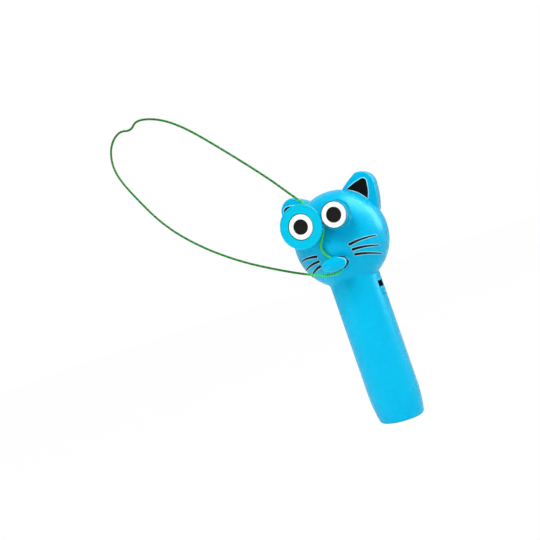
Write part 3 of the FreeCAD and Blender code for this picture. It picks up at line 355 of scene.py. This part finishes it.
for side, sign in (("left", -1), ("right", 1)):
    ends = ear_outlines[side]
    outline = []
    for i in range(0, len(ends), 2):
        outline += arc_through(ends[i], ends[i + 1], ends[(i + 2) % len(ends)])
    inside = sum(outline, Vector((0.0, 0.0))) / len(outline)
    inset_shape = bmesh.new()
    rings = []
    for y, inward in ((inset_front, inset_round), (inset_front + inset_round, 0.0),
                      (inset_back, 0.0)):
        edge = [ear_middle + place + (inside - place).normalized() * inward for place in outline]
        rings.append([inset_shape.verts.new((sign * x, y, z)) for x, z in edge])
    skin_between(inset_shape, rings, len(outline))
    inset_shape.faces.new(rings[0])
    inset_shape.faces.new(rings[-1])
    inset = piece_from(inset_shape, side + "_ear_inside", trim_black)
    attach(inset, "casing")
    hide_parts(side + "_ear_insert")

    bead_path = bpy.data.curves.new(side + "_ear_bead", "CURVE")
    bead_path.dimensions = "3D"
    bead_path.bevel_depth = bead_radius / 1000.0
    bead_path.bevel_resolution = 2
    bead_line = bead_path.splines.new("POLY")
    bead_line.points.add(len(outline) - 1)
    for knot, place in zip(bead_line.points, outline):
        x, z = ear_middle + place
        knot.co = (sign * x / 1000.0, ear_front / 1000.0, z / 1000.0, 1.0)
    bead_line.use_cyclic_u = True
    bead_path.materials.append(bead_blue.material)
    bead = bpy.data.objects.new(side + "_ear_bead", bead_path)
    scene.collection.objects.link(bead)
    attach(bead, "casing")

# Whiskers: three tapered black strokes in each cheek, moulded apart and pressed into
# grooves of the front shell. The lip of each groove is painted paler as a highlight.
face_middle_height = 126.0
head_half_width = 32.8
face_depth = 23.9
rim_share = 0.68
rim_arc = rim_share * face_depth
rim_centre = head_half_width - rim_arc
face_arc = (rim_centre ** 2 + face_depth ** 2 - rim_arc ** 2) / (2 * (face_depth - rim_arc))
arcs_join = rim_centre + rim_arc * math.cos(math.atan2(face_arc - face_depth, rim_centre))
whisker_proud = 0.12
whisker_sunk = 0.45
lip_margin = 0.26
lip_proud = 0.05
root_half_width = 1.0
tip_half_width = 0.44
whisker_arch = 0.7
whisker_steps = 14
root_end_turns = (0.12, 0.5, 0.9, 1.25)
tip_end_turns = (1.1, 0.6, 0.12)


def on_face(x, z, height):
    """The place that far above the face, whose profile is two arcs, in front of x and z."""
    up = z - face_middle_height
    across = math.hypot(x, up)
    if across < arcs_join:
        depth = face_depth - face_arc + math.sqrt(face_arc ** 2 - across ** 2)
        lean = across / face_arc
    else:
        depth = math.sqrt(rim_arc ** 2 - (across - rim_centre) ** 2)
        lean = (across - rim_centre) / rim_arc
    outward = Vector((x / across * lean, -math.sqrt(1 - lean ** 2), up / across * lean))
    return Vector((x, -depth, z)) + outward * height


def stroke(shape, root, tip, margin, proud):
    """A tapered, slightly arched bar that lies on the face, with round ends."""
    root = Vector(root)
    along = Vector(tip) - root
    reach = along.length
    along.normalize()
    sideways = Vector((-along.y, along.x)) if along.x > 0 else Vector((along.y, -along.x))
    root_half = root_half_width + margin
    tip_half = tip_half_width + margin
    stations = [(-root_half * math.cos(turn), root_half * math.sin(turn))
                for turn in root_end_turns]
    for share in (i / whisker_steps for i in range(whisker_steps + 1)):
        stations.append((reach * share, root_half + (tip_half - root_half) * share))
    for turn in tip_end_turns:
        stations.append((reach + tip_half * math.cos(turn), tip_half * math.sin(turn)))
    section = [(-1.0, -whisker_sunk), (-1.0, 0.0), (-0.85, 0.75 * proud), (-0.5, proud),
               (0.5, proud), (0.85, 0.75 * proud), (1.0, 0.0), (1.0, -whisker_sunk)]
    rings = []
    for distance, half in stations:
        share = min(max(distance / reach, 0.0), 1.0)
        middle = root + along * distance + Vector((0.0, 4 * whisker_arch * share * (1 - share)))
        ring = []
        for offset, height in section:
            x, z = middle + sideways * (offset * half)
            ring.append(shape.verts.new(on_face(x, z + face_middle_height, height)))
        rings.append(ring)
    skin_between(shape, rings, len(section))
    shape.faces.new(rings[0])
    shape.faces.new(rings[-1])


# Root and tip of each stroke, across and up from the middle of the face.
whisker_ends = {
    "left": [((-12.5, -6.1), (-27.3, -6.0)),
             ((-12.3, -9.6), (-27.8, -12.8)),
             ((-12.9, -12.9), (-25.7, -18.2))],
    "right": [((11.9, -5.7), (26.8, -5.6)),
              ((12.5, -9.4), (26.3, -12.1)),
              ((12.7, -12.9), (25.4, -17.7))],
}
for side, ends in whisker_ends.items():
    strokes_shape = bmesh.new()
    lips_shape = bmesh.new()
    for root, tip in ends:
        stroke(strokes_shape, root, tip, 0.0, whisker_proud)
        stroke(lips_shape, root, tip, lip_margin, lip_proud)
    strokes = piece_from(strokes_shape, side + "_whisker_strokes", trim_black)
    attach(strokes, "casing")
    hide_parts(side + "_whiskers")
    # Painted highlight: the lips round the strokes are pale blue.
    lips = piece_from(lips_shape, side + "_whisker_lips", bead_blue)
    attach(lips, "casing")


# Screws: pan heads with a cross recess, zinc plated, driven forward from behind: four
# in the casing, three in the gear plate, one in the mouth and one in the door.
class Pattern(NodeTree):
    """A geometry tree with named sizes, which makes one plain piece at the given places."""

    def __init__(self, name, sizes):
        super().__init__(bpy.data.node_groups.new(name, "GeometryNodeTree"))
        ports = self.tree.interface
        ports.new_socket("Places", in_out="INPUT", socket_type="NodeSocketGeometry")
        for size, value in sizes.items():
            kind = "NodeSocketInt" if isinstance(value, int) else "NodeSocketFloat"
            ports.new_socket(size, in_out="INPUT", socket_type=kind)
        ports.new_socket("Piece", in_out="OUTPUT", socket_type="NodeSocketGeometry")
        self.entry = self.tree.nodes.new("NodeGroupInput")

    def size(self, name):
        """One of the tree's named sizes."""
        return Value(self, self.entry.outputs[name])

    def vector(self, x, y, z):
        return self.node("ShaderNodeCombineXYZ", inputs={0: x, 1: y, 2: z})

    def joined(self, *shapes):
        return self.node("GeometryNodeJoinGeometry", inputs={0: list(shapes)})

    def moved(self, shape, **changes):
        """A shape with a Translation or a Rotation."""
        return self.node("GeometryNodeTransform", inputs={"Geometry": shape, **changes})

    def raised(self, shape, height):
        return self.moved(shape, Translation=self.vector(0.0, 0.0, height))

    def tube(self, spine, sides, radius):
        """A round or faceted tube along a curve, closed at both ends."""
        section = self.node("GeometryNodeCurvePrimitiveCircle", inputs={
            "Resolution": sides, "Radius": radius})
        return self.node("GeometryNodeCurveToMesh", inputs={
            "Curve": spine, "Profile Curve": section, "Fill Caps": True})

    def at_places(self, shape, **more):
        """The shape at each of the places."""
        return self.node("GeometryNodeInstanceOnPoints", inputs={
            "Points": self.size("Places"), "Instance": shape, **more})

    def end(self, shape, finish, sharp_from):
        """Closes the tree with plain faces, smooth up to that angle, that carry the finish."""
        plain = self.node("GeometryNodeRealizeInstances", inputs={"Geometry": shape})
        plain = self.node("GeometryNodeSetShadeSmooth", {"domain": "FACE"}, {
            "Geometry": plain, "Shade Smooth": True})
        bend = self.node("GeometryNodeInputMeshEdgeAngle")
        plain = self.node("GeometryNodeSetShadeSmooth", {"domain": "EDGE"}, {
            "Geometry": plain, "Selection": bend > math.radians(sharp_from), "Shade Smooth": False})
        plain = self.node("GeometryNodeSetMaterial", inputs={
            "Geometry": plain, "Material": finish.material})
        self.tree.links.new(plain.socket, self.tree.nodes.new("NodeGroupOutput").inputs[0])

    def make(self, name, places, sizes):
        """The pattern's piece at places in millimetres, as a plain object at the origin."""
        points = bpy.data.meshes.new(name + "_places")
        points.from_pydata([Vector(place) * 0.001 for place in places], [], [])
        holder = bpy.data.objects.new(name + "_places", points)
        scene.collection.objects.link(holder)
        modifier = holder.modifiers.new("pattern", "NODES")
        modifier.node_group = self.tree
        for port in self.tree.interface.items_tree:
            if port.name in sizes:
                value = sizes[port.name]
                modifier[port.identifier] = value if isinstance(value, int) else value * 0.001
        bpy.context.view_layer.update()
        evaluated = holder.evaluated_get(bpy.context.evaluated_depsgraph_get())
        made = bpy.data.objects.new(name, bpy.data.meshes.new_from_object(evaluated))
        made.data.name = name
        bpy.data.objects.remove(holder)
        scene.collection.objects.link(made)
        return made


steel_bright = paint(200, 202, 206)
steel_dull = paint(150, 152, 156)


def bare_metal(name, bright, dull, roughness):
    """Plated or drawn metal, blotched a little and with fine scratches."""
    finish = Finish(name, Metallic=1.0)
    finish.set("Base Color", finish.mix(finish.noise(1.2, 3.0), bright, dull))
    finish.set("Roughness", roughness + 0.18 * finish.noise(0.5, 4.0))
    finish.relief(finish.noise(0.12, 2.0, stretch=(1.0, 1.0, 0.1)), 0.004, 0.4)
    return finish


zinc = bare_metal("zinc_plated", steel_bright, steel_dull, 0.24)
case_screw = {"Head radius": 2.0, "Head height": 1.5, "Length": 9.0,
              "Thread radius": 0.95, "Pitch": 0.7}
head_doming = 0.5
recess_reach = 1.1
recess_width = 0.24
recess_floor = 0.6
point_radius = 0.3
core_radius = 0.82
thread_path = 0.8
thread_share = 0.8
thread_height = 0.2

screw = Pattern("pan_head_screw", case_screw)
head_radius = screw.size("Head radius")
head_height = screw.size("Head height")
head = screw.node("GeometryNodeMeshCylinder", {"fill_type": "TRIANGLE_FAN"}, {
    "Vertices": 24, "Side Segments": 6, "Fill Segments": 2,
    "Radius": head_radius, "Depth": head_height})
place = screw.node("GeometryNodeInputPosition")
x, y, z = (screw.node("ShaderNodeSeparateXYZ", inputs={0: place}, output=axis)
           for axis in range(3))
up_the_head = z / head_height + 0.5
narrowing = (1.0 - head_doming * up_the_head ** 3.0) ** 0.5
head = screw.node("GeometryNodeSetPosition", inputs={
    "Geometry": head, "Position": screw.vector(x * narrowing, y * narrowing, z)})
slot = screw.node("GeometryNodeMeshCube", inputs={
    "Size": screw.vector(head_radius * recess_reach, head_radius * recess_width, head_height)})
cross = screw.joined(slot, screw.moved(slot, Rotation=(0.0, 0.0, math.pi / 2)))
cross = screw.raised(cross, head_height * recess_floor)
head = screw.node("GeometryNodeMeshBoolean", {"operation": "DIFFERENCE", "solver": "EXACT"}, {
    0: head, 1: cross})
head = screw.raised(head, head_height * 0.5)
length = screw.size("Length")
thread_radius = screw.size("Thread radius")
core = screw.node("GeometryNodeMeshCone", inputs={
    "Vertices": 16, "Radius Top": thread_radius * core_radius,
    "Radius Bottom": thread_radius * point_radius, "Depth": length})
core = screw.raised(core, -1.0 * length)
spiral = screw.node("GeometryNodeCurveSpiral", inputs={
    "Resolution": 14, "Rotations": length * thread_share / screw.size("Pitch"),
    "Start Radius": thread_radius * thread_path, "End Radius": thread_radius * thread_path,
    "Height": length * thread_share})
thread = screw.raised(screw.tube(spiral, 3, thread_radius * thread_height), -0.9 * length)
turn = screw.node("FunctionNodeRandomValue", {"data_type": "FLOAT"}, {
    2: 0.0, 3: math.pi / 2, "Seed": 4}, output=1)
upright_turned = screw.vector(-math.pi / 2, turn, 0.0)
screw.end(screw.at_places(screw.joined(head, core, thread), Rotation=upright_turned), zinc, 40.0)

# Each group: the places under the heads, and the sizes.
screws = {
    "case_screws": ([(-23.5, 7.6, 118.0), (23.5, 7.6, 118.0),
                     (0.0, 7.6, 152.6), (0.0, 7.6, 76.0)], case_screw),
    "plate_screws": ([(-21.0, -4.2, 128.5), (21.0, -4.2, 128.5), (0.0, -4.2, 146.4)],
                     {**case_screw, "Length": 7.3}),
    "lip_screw": ([(0.0, -15.6, 111.3)], {**case_screw, "Length": 8.8}),
    "door_screw": ([(0.0, 12.4, 65.7)], {**case_screw, "Head radius": 2.2, "Head height": 1.4,
                                         "Length": 6.0, "Thread radius": 1.1}),
}
for node, (places, sizes) in screws.items():
    made = screw.make(node + "_driven", places, sizes)
    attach(made, "door" if node == "door_screw" else "casing")
    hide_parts(node)

# Cells and contacts: two cylindrical cells in printed sleeves, head to tail, between a
# sprung bridge below and two sprung leaves above, all of nickel-plated steel strip.
sleeve_dark = paint(58, 62, 68)
sleeve_band = paint(196, 128, 62)
cell_low = 7.0
cell_high = 57.5
band_length = 11.0
bare_end = 1.2


def cell_sleeve(name, positive_up):
    """A dark sleeve with a coppery band at the positive end and bare steel at both ends."""
    finish = Finish(name)
    height = finish.x_y_z()[2]
    from_positive = cell_high - height if positive_up else height - cell_low
    bare = (from_positive < bare_end + 1.0) + (from_positive > cell_high - cell_low - bare_end)
    sleeve = finish.mix(from_positive < band_length, sleeve_dark, sleeve_band)
    finish.set("Base Color", finish.mix(bare, sleeve, steel_bright))
    finish.set("Metallic", 0.35 + 0.65 * bare)
    finish.set("Roughness", 0.26 + 0.12 * finish.noise(2.0, 3.0))
    finish.relief(finish.noise(6.0, 2.0, stretch=(1.0, 1.0, 0.2)), 0.05, 0.3)
    return finish


dress("left_cell", cell_sleeve("left_cell_sleeve", True))
dress("right_cell", cell_sleeve("right_cell_sleeve", False))
nickel = bare_metal("nickel_plated", paint(206, 203, 196), paint(170, 167, 160), 0.2)
for contact in ("lower_contact", "left_upper_contact", "right_upper_contact", "motor_terminals"):
    dress(contact, nickel)

# Slide switch: a black moulded body behind the slot in the side of the handle, and the
# blue button that slides in the slot, with grip ridges across its face and a flange
# behind it that keeps the dust out, painted black as the shade seen through the slot.
switch_black = Finish("switch_black", Specular_IOR_Level=0.35)
switch_black.set("Base Color", switch_black.mix(switch_black.noise(1.5), shade_and_trim_black, worn_black))
switch_black.set("Roughness", 0.5 + 0.15 * switch_black.noise(0.5))
dress("switch_body", switch_black)
flange_outer = 13.4
button = blue_plastic("switch_button", 0.28, blotch=9.0)
x = button.x_y_z()[0]
# Painted shade: the button's flange, seen inside the slot, is painted black.
button.set("Base Color", button.mix(x > flange_outer, shade_and_trim_black, button.colour))
dress("switch_knob", button)


def rod(pattern, half_length, radius, sides):
    """A round bar along Z with its ends drawn in."""
    spine = pattern.node("GeometryNodeCurvePrimitiveLine", inputs={
        "Start": pattern.vector(0.0, 0.0, -1.0 * half_length),
        "End": pattern.vector(0.0, 0.0, half_length)})
    spine = pattern.node("GeometryNodeResampleCurve", inputs={"Curve": spine, "Count": 9})
    from_middle = abs(2.0 * pattern.node("GeometryNodeSplineParameter", output="Factor") - 1.0)
    spine = pattern.node("GeometryNodeSetCurveRadius", inputs={
        "Curve": spine, "Radius": 1.0 - 0.5 * from_middle ** 6.0})
    return pattern.tube(spine, sides, radius)


ridge_sizes = {"Half length": 1.7, "Radius": 0.3}
ridge_x = 17.6
lowest_ridge = 84.0
ridge_spacing = 0.93
face_turn = math.radians(12.0)
ridging = Pattern("grip_ridge", ridge_sizes)
ridge = rod(ridging, ridging.size("Half length"), ridging.size("Radius"), 10)
ridge = ridging.moved(ridge, Rotation=(math.pi / 2, 0.0, -face_turn))
ridging.end(ridging.at_places(ridge), button, 60.0)
ridge_places = [(ridge_x, slot_place_y, lowest_ridge + ridge_spacing * i) for i in range(4)]
ridges = ridging.make("grip_ridges", ridge_places, ridge_sizes)
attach(ridges, "slider")

# Wires: soft insulated leads, red from a cell through the switch to the motor, and
# black from the other cell straight to the motor.
wire_red = paint(178, 22, 20)
wire_black = paint(20, 20, 21)
for wires, colour in ((("switch_wire", "motor_wire"), wire_red), (("return_wire",), wire_black)):
    insulation = Finish(wires[0] + "_insulation", Specular_IOR_Level=0.4)
    insulation.set("Base Color", insulation.mix(0.3 * insulation.noise(4.0), colour, worn_black))
    insulation.set("Roughness", 0.38 + 0.12 * insulation.noise(0.6))
    for wire in wires:
        dress(wire, insulation)

# Motor and gear train: a small flat-sided motor in a plated can, a nylon pinion, an
# idler and two wheel gears on steel shafts, all on one natural nylon plate.
nylon_pale = paint(228, 226, 216)
nylon_warm = paint(216, 212, 200)
natural_nylon = Finish("natural_nylon", Specular_IOR_Level=0.4)
natural_nylon.set("Base Color", natural_nylon.mix(natural_nylon.noise(8.0), nylon_pale, nylon_warm))
natural_nylon.set("Roughness", 0.4 + 0.12 * natural_nylon.noise(1.2, 3.0))
natural_nylon.relief(natural_nylon.noise(0.5), 0.01, 0.3)
for nylon in ("gear_plate", "left_gear", "right_gear", "idler_gear", "motor_pinion", "motor_cap"):
    dress(nylon, natural_nylon)
for steel in ("motor_can", "motor_shaft", "left_shaft", "right_shaft", "idler_pin"):
    dress(steel, zinc)
brass = bare_metal("sintered_brass", paint(212, 172, 94), paint(176, 136, 66), 0.34)
for bush in ("left_bush", "right_bush"):
    dress(bush, brass)

# Left wheel: a broad smooth disc of glossy blue plastic, which keeps the string from
# slipping off the smooth drum behind it. The left eye is let into its face, and the
# narrow groove round it, like the one round the right eye, is painted dark as shade.
wheel_height = 140.8
left_wheel_x = -11.7
flange_radius = 14.5
flange_lip = 0.3
flange_lip_width = 1.0
flange_front = -32.2
flange_back = -29.9
recess_radius = 8.55
recess_depth = 0.6
groove_radius = 7.6
groove_depth = 1.5
dark_from = 8.1
dark_to = 8.62
dark_in_front_of = -30.2
wheel_blue = blue_plastic("wheel_blue", 0.22, paint(6, 194, 228), paint(4, 188, 222), 16.0)
x, y, z = wheel_blue.x_y_z()
from_axis = ((abs(x) + left_wheel_x) ** 2.0 + (z - wheel_height) ** 2.0) ** 0.5
# Painted shade: the groove round each eye is painted a dark blue.
groove_painted_shade = (from_axis > dark_from) * (from_axis < dark_to) * (y < dark_in_front_of)
wheel_blue.set("Base Color", wheel_blue.mix(groove_painted_shade, wheel_blue.colour, paint(8, 70, 92)))


def rounded(corners, steps=5):
    """An outline in (radius, y) from corners of (radius, y, rounding), closely lined there."""
    outline = []
    for i, (radius, y, rounding) in enumerate(corners):
        corner = Vector((radius, y))
        if rounding == 0.0:
            outline.append(corner)
            continue
        before = (Vector(corners[i - 1][:2]) - corner).normalized()
        after = (Vector(corners[i + 1][:2]) - corner).normalized()
        half = before.angle(after) / 2
        reach = rounding / math.tan(half)
        centre = corner + (before + after).normalized() * (rounding / math.sin(half))
        first = corner + before * reach - centre
        last = corner + after * reach - centre
        outline.append(centre + first + before * (0.2 * rounding))
        for step in range(steps + 1):
            outline.append(centre + first.slerp(last, step / steps) * rounding)
        outline.append(centre + last + after * (0.2 * rounding))
    return outline


def oval_ring(shape, middle, half_across, half_up, sides):
    """Points round an upright oval, or its middle alone where it has no size."""
    x, y, z = middle
    turns = [2 * math.pi * i / sides for i in range(sides if half_across > 0.0001 else 1)]
    return [shape.verts.new((x + half_across * math.cos(turn), y, z + half_up * math.sin(turn)))
            for turn in turns]


def turned(name, x, outline, finish, sides=112):
    """A piece turned about the axis of the wheel at x, from its (radius, y) outline."""
    shape = bmesh.new()
    rings = [oval_ring(shape, (x, y, wheel_height), radius, radius, sides) for radius, y in outline]
    skin_between(shape, rings, sides)
    return piece_from(shape, name, finish)


flange = turned("left_flange_disc", left_wheel_x, rounded([
    (0.0, flange_front + recess_depth, 0.0),
    (groove_radius, flange_front + recess_depth, 0.05),
    (groove_radius, flange_front + groove_depth, 0.05),
    (recess_radius, flange_front + groove_depth, 0.05),
    (recess_radius, flange_front, 0.1),
    (flange_radius - flange_lip_width - flange_lip, flange_front, 0.2),
    (flange_radius - flange_lip_width, flange_front - flange_lip, 0.15),
    (flange_radius, flange_front - flange_lip, 0.6),
    (flange_radius, flange_back, 0.5),
    (0.0, flange_back, 0.0),
]), wheel_blue)
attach(flange, "left_wheel")
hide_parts("left_flange")
dress("left_drum", wheel_blue)

# Right wheel: a drum with 48 fine teeth that grip the string, and a round boss in
# front of it that carries the right eye. It is one moulding.
right_wheel_x = 11.7
drum_radius = 8.95
teeth_radius = 9.25
drum_front = -29.4
drum_back = -24.3
drum_web = 1.6
drum_hollow = 8.1
hub_radius = 3.2
boss_radius = 8.8
boss_front = -31.9

drum = turned("right_drum_core", right_wheel_x, rounded([
    (0.0, boss_front + recess_depth, 0.0),
    (groove_radius, boss_front + recess_depth, 0.05),
    (groove_radius, boss_front + groove_depth, 0.05),
    (recess_radius, boss_front + groove_depth, 0.05),
    (recess_radius, boss_front, 0.06),
    (boss_radius, boss_front, 0.12),
    (boss_radius, drum_front, 0.15),
    (drum_radius, drum_front, 0.3),
    (drum_radius, drum_back, 0.3),
    (drum_hollow, drum_back, 0.1),
    (drum_hollow, drum_front + drum_web, 0.1),
    (hub_radius, drum_front + drum_web, 0.1),
    (hub_radius, drum_back, 0.1),
    (0.0, drum_back, 0.0),
]), wheel_blue)
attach(drum, "right_wheel")
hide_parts("right_drum")

tooth_end_gap = 0.15
tooth_sizes = {"Teeth": 48, "Rim radius": teeth_radius, "Tooth radius": 0.4,
               "Half width": (drum_back - drum_front) / 2 - tooth_end_gap}
toothing = Pattern("drum_teeth", tooth_sizes)
rim = toothing.node("GeometryNodeMeshCircle", inputs={
    "Vertices": toothing.size("Teeth"), "Radius": toothing.size("Rim radius")})
tooth = rod(toothing, toothing.size("Half width"), toothing.size("Tooth radius"), 8)
teeth = toothing.node("GeometryNodeInstanceOnPoints", inputs={"Points": rim, "Instance": tooth})
teeth = toothing.moved(teeth, Rotation=(math.pi / 2, 0.0, 0.0))
toothing.end(toothing.at_places(teeth), wheel_blue, 60.0)
wheel_middle = (right_wheel_x, (drum_front + drum_back) / 2, wheel_height)
drum_teeth = toothing.make("right_drum_teeth", [wheel_middle], tooth_sizes)
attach(drum_teeth, "right_wheel")
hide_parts("right_drum")

# Eyes: a white moulded disc pressed into each wheel, barely crowned, with a black
# pupil that stands a little proud of it.
eye_radius = 8.15
pupil_radius = 4.9
eye_white = Finish("eye_white", Specular_IOR_Level=0.4)
eye_white.set("Base Color", eye_white.mix(
    eye_white.noise(5.0), paint(250, 250, 249), paint(243, 244, 244)))
eye_white.set("Roughness", 0.3 + 0.08 * eye_white.noise(1.5))
pupil_black = Finish("pupil_black", Specular_IOR_Level=0.2)
pupil_black.set("Base Color", pupil_black.mix(
    pupil_black.noise(2.0), paint(26, 27, 26), paint(18, 19, 18)))
pupil_black.set("Roughness", 0.42 + 0.12 * pupil_black.noise(0.8))
pupil_black.relief(pupil_black.noise(0.3), 0.015, 0.4)
eye_seat = recess_depth - 0.02
pupil_seat = 0.2
pupil_sunk = 0.19
pupil_rim = 0.16
pupil_middle = 0.30
for side, x, front in (("left", left_wheel_x, flange_front),
                       ("right", right_wheel_x, boss_front)):
    eye = turned(side + "_eye_disc", x, rounded([
        (0.0, front + pupil_seat, 0.0),
        (pupil_radius, front + pupil_seat, 0.0),
        (pupil_radius + 0.1, front - 0.12, 0.06),
        (eye_radius, front - 0.02, 0.4),
        (eye_radius, front + eye_seat, 0.05),
        (0.0, front + eye_seat, 0.0),
    ]), eye_white)
    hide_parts(side + "_eye")
    crown = [(pupil_radius * share,
              front - pupil_middle + (pupil_middle - pupil_rim) * share ** 2, 0.0)
             for share in (0.0, 0.3, 0.6)]
    pupil = turned(side + "_pupil_disc", x, rounded(crown + [
        (pupil_radius, front - pupil_rim, 0.14),
        (pupil_radius, front + pupil_sunk, 0.03),
        (0.0, front + pupil_sunk, 0.0),
    ]), pupil_black)
    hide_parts(side + "_pupil")
    for piece in (eye, pupil):
        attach(piece, side + "_wheel")

# Mouth: a bulging oval cap on a short stem, one glossy blue moulding held by a screw
# from inside. It guides the string. A black line of painted shadow, for the shaded gap
# under the cap, runs round its right end and goes on thinly below, with a pale line of
# painted highlight inside it.
mouth_height = 111.3
mouth_back = -25.8
mouth_half_width = 9.75
mouth_half_height = 5.0
mouth_depth = 4.8
mouth_rim = 0.35
stem_radius = 2.8
stem_back = -19.8
line_ring = 0.925
line_half_width = 0.055
line_top = 1.3
line_taper = 2.2
bold_bottom = -1.0
thin_top = -1.12
thin_bottom = -2.4
thin_share = 0.5
pale_inwards = 1.5
pale_share = 0.35
highlight_pale_blue = paint(190, 240, 250)

mouth_finish = blue_plastic("mouth_blue", 0.24)
x, y, z = mouth_finish.x_y_z()
across = x / mouth_half_width
up = (z - mouth_height) / mouth_half_height
ring = (abs(across) ** 2.0 + abs(up) ** 2.0) ** 0.5
angle = up.maths("ARCTAN2", across)
tapered = ((line_top - angle) * line_taper).maths("MINIMUM", 1.0)
bold = (angle > bold_bottom) * tapered
thin = thin_share * (angle < thin_top) * (angle > thin_bottom)
line_width = line_half_width * (bold + thin).maths("MAXIMUM", 0.0)
in_front = y < mouth_back + 0.1
# Painted shadow: the black line round the cap's right end and below.
painted_shadow_line = (abs(ring - line_ring) < line_width) * in_front
# Painted highlight: the pale line just inside the black one.
pale_ring = line_ring - pale_inwards * line_half_width
pale = (abs(ring - pale_ring) < pale_share * line_width) * in_front
blue = mouth_finish.mix(0.7 * pale, mouth_finish.colour, highlight_pale_blue)
mouth_finish.set("Base Color", mouth_finish.mix(painted_shadow_line, blue, shade_and_trim_black))

mouth_sides = 96
dome_steps = 16
mouth_shape = bmesh.new()
ovals = []
for lean in (math.pi / 2 * i / dome_steps for i in range(dome_steps + 1)):
    ovals.append((math.sin(lean), mouth_back - mouth_depth * math.cos(lean)))
ovals += [(0.985, mouth_back + 0.6 * mouth_rim), (0.94, mouth_back + mouth_rim)]
halves = [(share * mouth_half_width, share * mouth_half_height, y) for share, y in ovals]
halves += [(stem_radius, stem_radius, mouth_back + mouth_rim),
           (stem_radius, stem_radius, stem_back)]
halves.append((0.0, 0.0, stem_back))
rings = [oval_ring(mouth_shape, (0.0, y, mouth_height), half_across, half_up, mouth_sides)
         for half_across, half_up, y in halves]
skin_between(mouth_shape, rings, mouth_sides)
mouth = piece_from(mouth_shape, "mouth_cap", mouth_finish)
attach(mouth, "casing")
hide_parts("lip_guide")

# String: one thin green cord, twisted from two strands, with painted light that makes it
# brighter near the face. The turning wheels keep it running in a loop through the air,
# in over the mouth and out between the wheels.
string_thickness = 1.5
string_y = -27.1
string_route = [
    (-4.7, string_y, wheel_height + 11.47),
    (-12.3, string_y, wheel_height + 21.3),
    (-24.3, string_y, wheel_height + 38.0),
    (-48.9, string_y, wheel_height + 67.5),
    (-70.6, string_y, wheel_height + 92.0),
    (-87.7, string_y, wheel_height + 105.3),
    (-105.2, string_y, wheel_height + 111.6),
    (-111.6, string_y, wheel_height + 106.1),
    (-121.5, string_y, wheel_height + 109.8),
    (-131.5, string_y, wheel_height + 104.0),
    (-136.2, string_y, wheel_height + 92.7),
    (-135.0, string_y, wheel_height + 79.8),
    (-126.7, string_y, wheel_height + 62.1),
    (-111.6, string_y, wheel_height + 35.5),
    (-90.5, string_y, wheel_height + 13.2),
    (-63.8, string_y, wheel_height - 7.0),
    (-35.6, string_y + 0.6, mouth_height + 6.7),
    (-16.6, string_y + 1.6, mouth_height - 2.4),
    (-6.0, string_y + 2.8, mouth_height - 6.0),
    (0.8, string_y + 3.3, mouth_height - 5.8),
    (4.2, string_y + 3.6, mouth_height - 3.0),
    (4.9, string_y + 3.7, mouth_height + 1.0),
    (2.0, string_y + 3.7, mouth_height + 3.9),
    (-2.6, string_y + 3.4, mouth_height + 3.9),
    (-6.6, string_y + 2.4, mouth_height + 11.4),
    (-4.4, string_y + 1.2, wheel_height - 12.9),
    (1.1, string_y + 0.2, wheel_height - 6.4),
    (1.1, string_y, wheel_height + 4.8),
    (-4.6, string_y, wheel_height + 11.35),
]
string_length = 440.3
twist_pitch = 2.2
bright_from = -22.0
bright_below = wheel_height + 20.0
brightening = 0.2

string_finish = Finish("green_cord", Specular_IOR_Level=0.4)
along_string = string_finish.node("ShaderNodeTexCoord", output="UV")
run, round_it = (string_finish.node("ShaderNodeSeparateXYZ", inputs={0: along_string}, output=axis)
                 for axis in (0, 1))
strand = abs((run * (string_length / twist_pitch) + round_it).maths("FRACT") * 2.0 - 1.0)
x, y, z = string_finish.x_y_z()
# Painted light: the cord grows brighter to the right of bright_from and below bright_below.
painted_face_light = ((x - bright_from) * brightening).maths("MINIMUM", (bright_below - z) * brightening)
dark_strand = string_finish.mix(painted_face_light, paint(6, 98, 18), paint(24, 176, 52))
bright_strand = string_finish.mix(painted_face_light, paint(16, 138, 30), paint(80, 240, 96))
string_finish.set("Base Color", string_finish.mix(strand, dark_strand, bright_strand))
string_finish.set("Roughness", 0.45 + 0.15 * string_finish.noise(1.0))
string_finish.relief(strand, 0.15, 0.3)

string_curve = bpy.data.curves.new("string_loop", "CURVE")
string_curve.dimensions = "3D"
string_curve.bevel_depth = string_thickness / 2000.0
string_curve.bevel_resolution = 4
string_curve.resolution_u = 10
string_curve.use_fill_caps = True
string_line = string_curve.splines.new("NURBS")
string_line.points.add(len(string_route) - 1)
for knot, place in zip(string_line.points, string_route):
    knot.co = (*(Vector(place) * 0.001), 1.0)
string_line.order_u = 3
string_line.use_endpoint_u = True
string_curve.materials.append(string_finish.material)
string_loop = bpy.data.objects.new("string_loop", string_curve)
scene.collection.objects.link(string_loop)
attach(string_loop, "casing")
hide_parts("string")
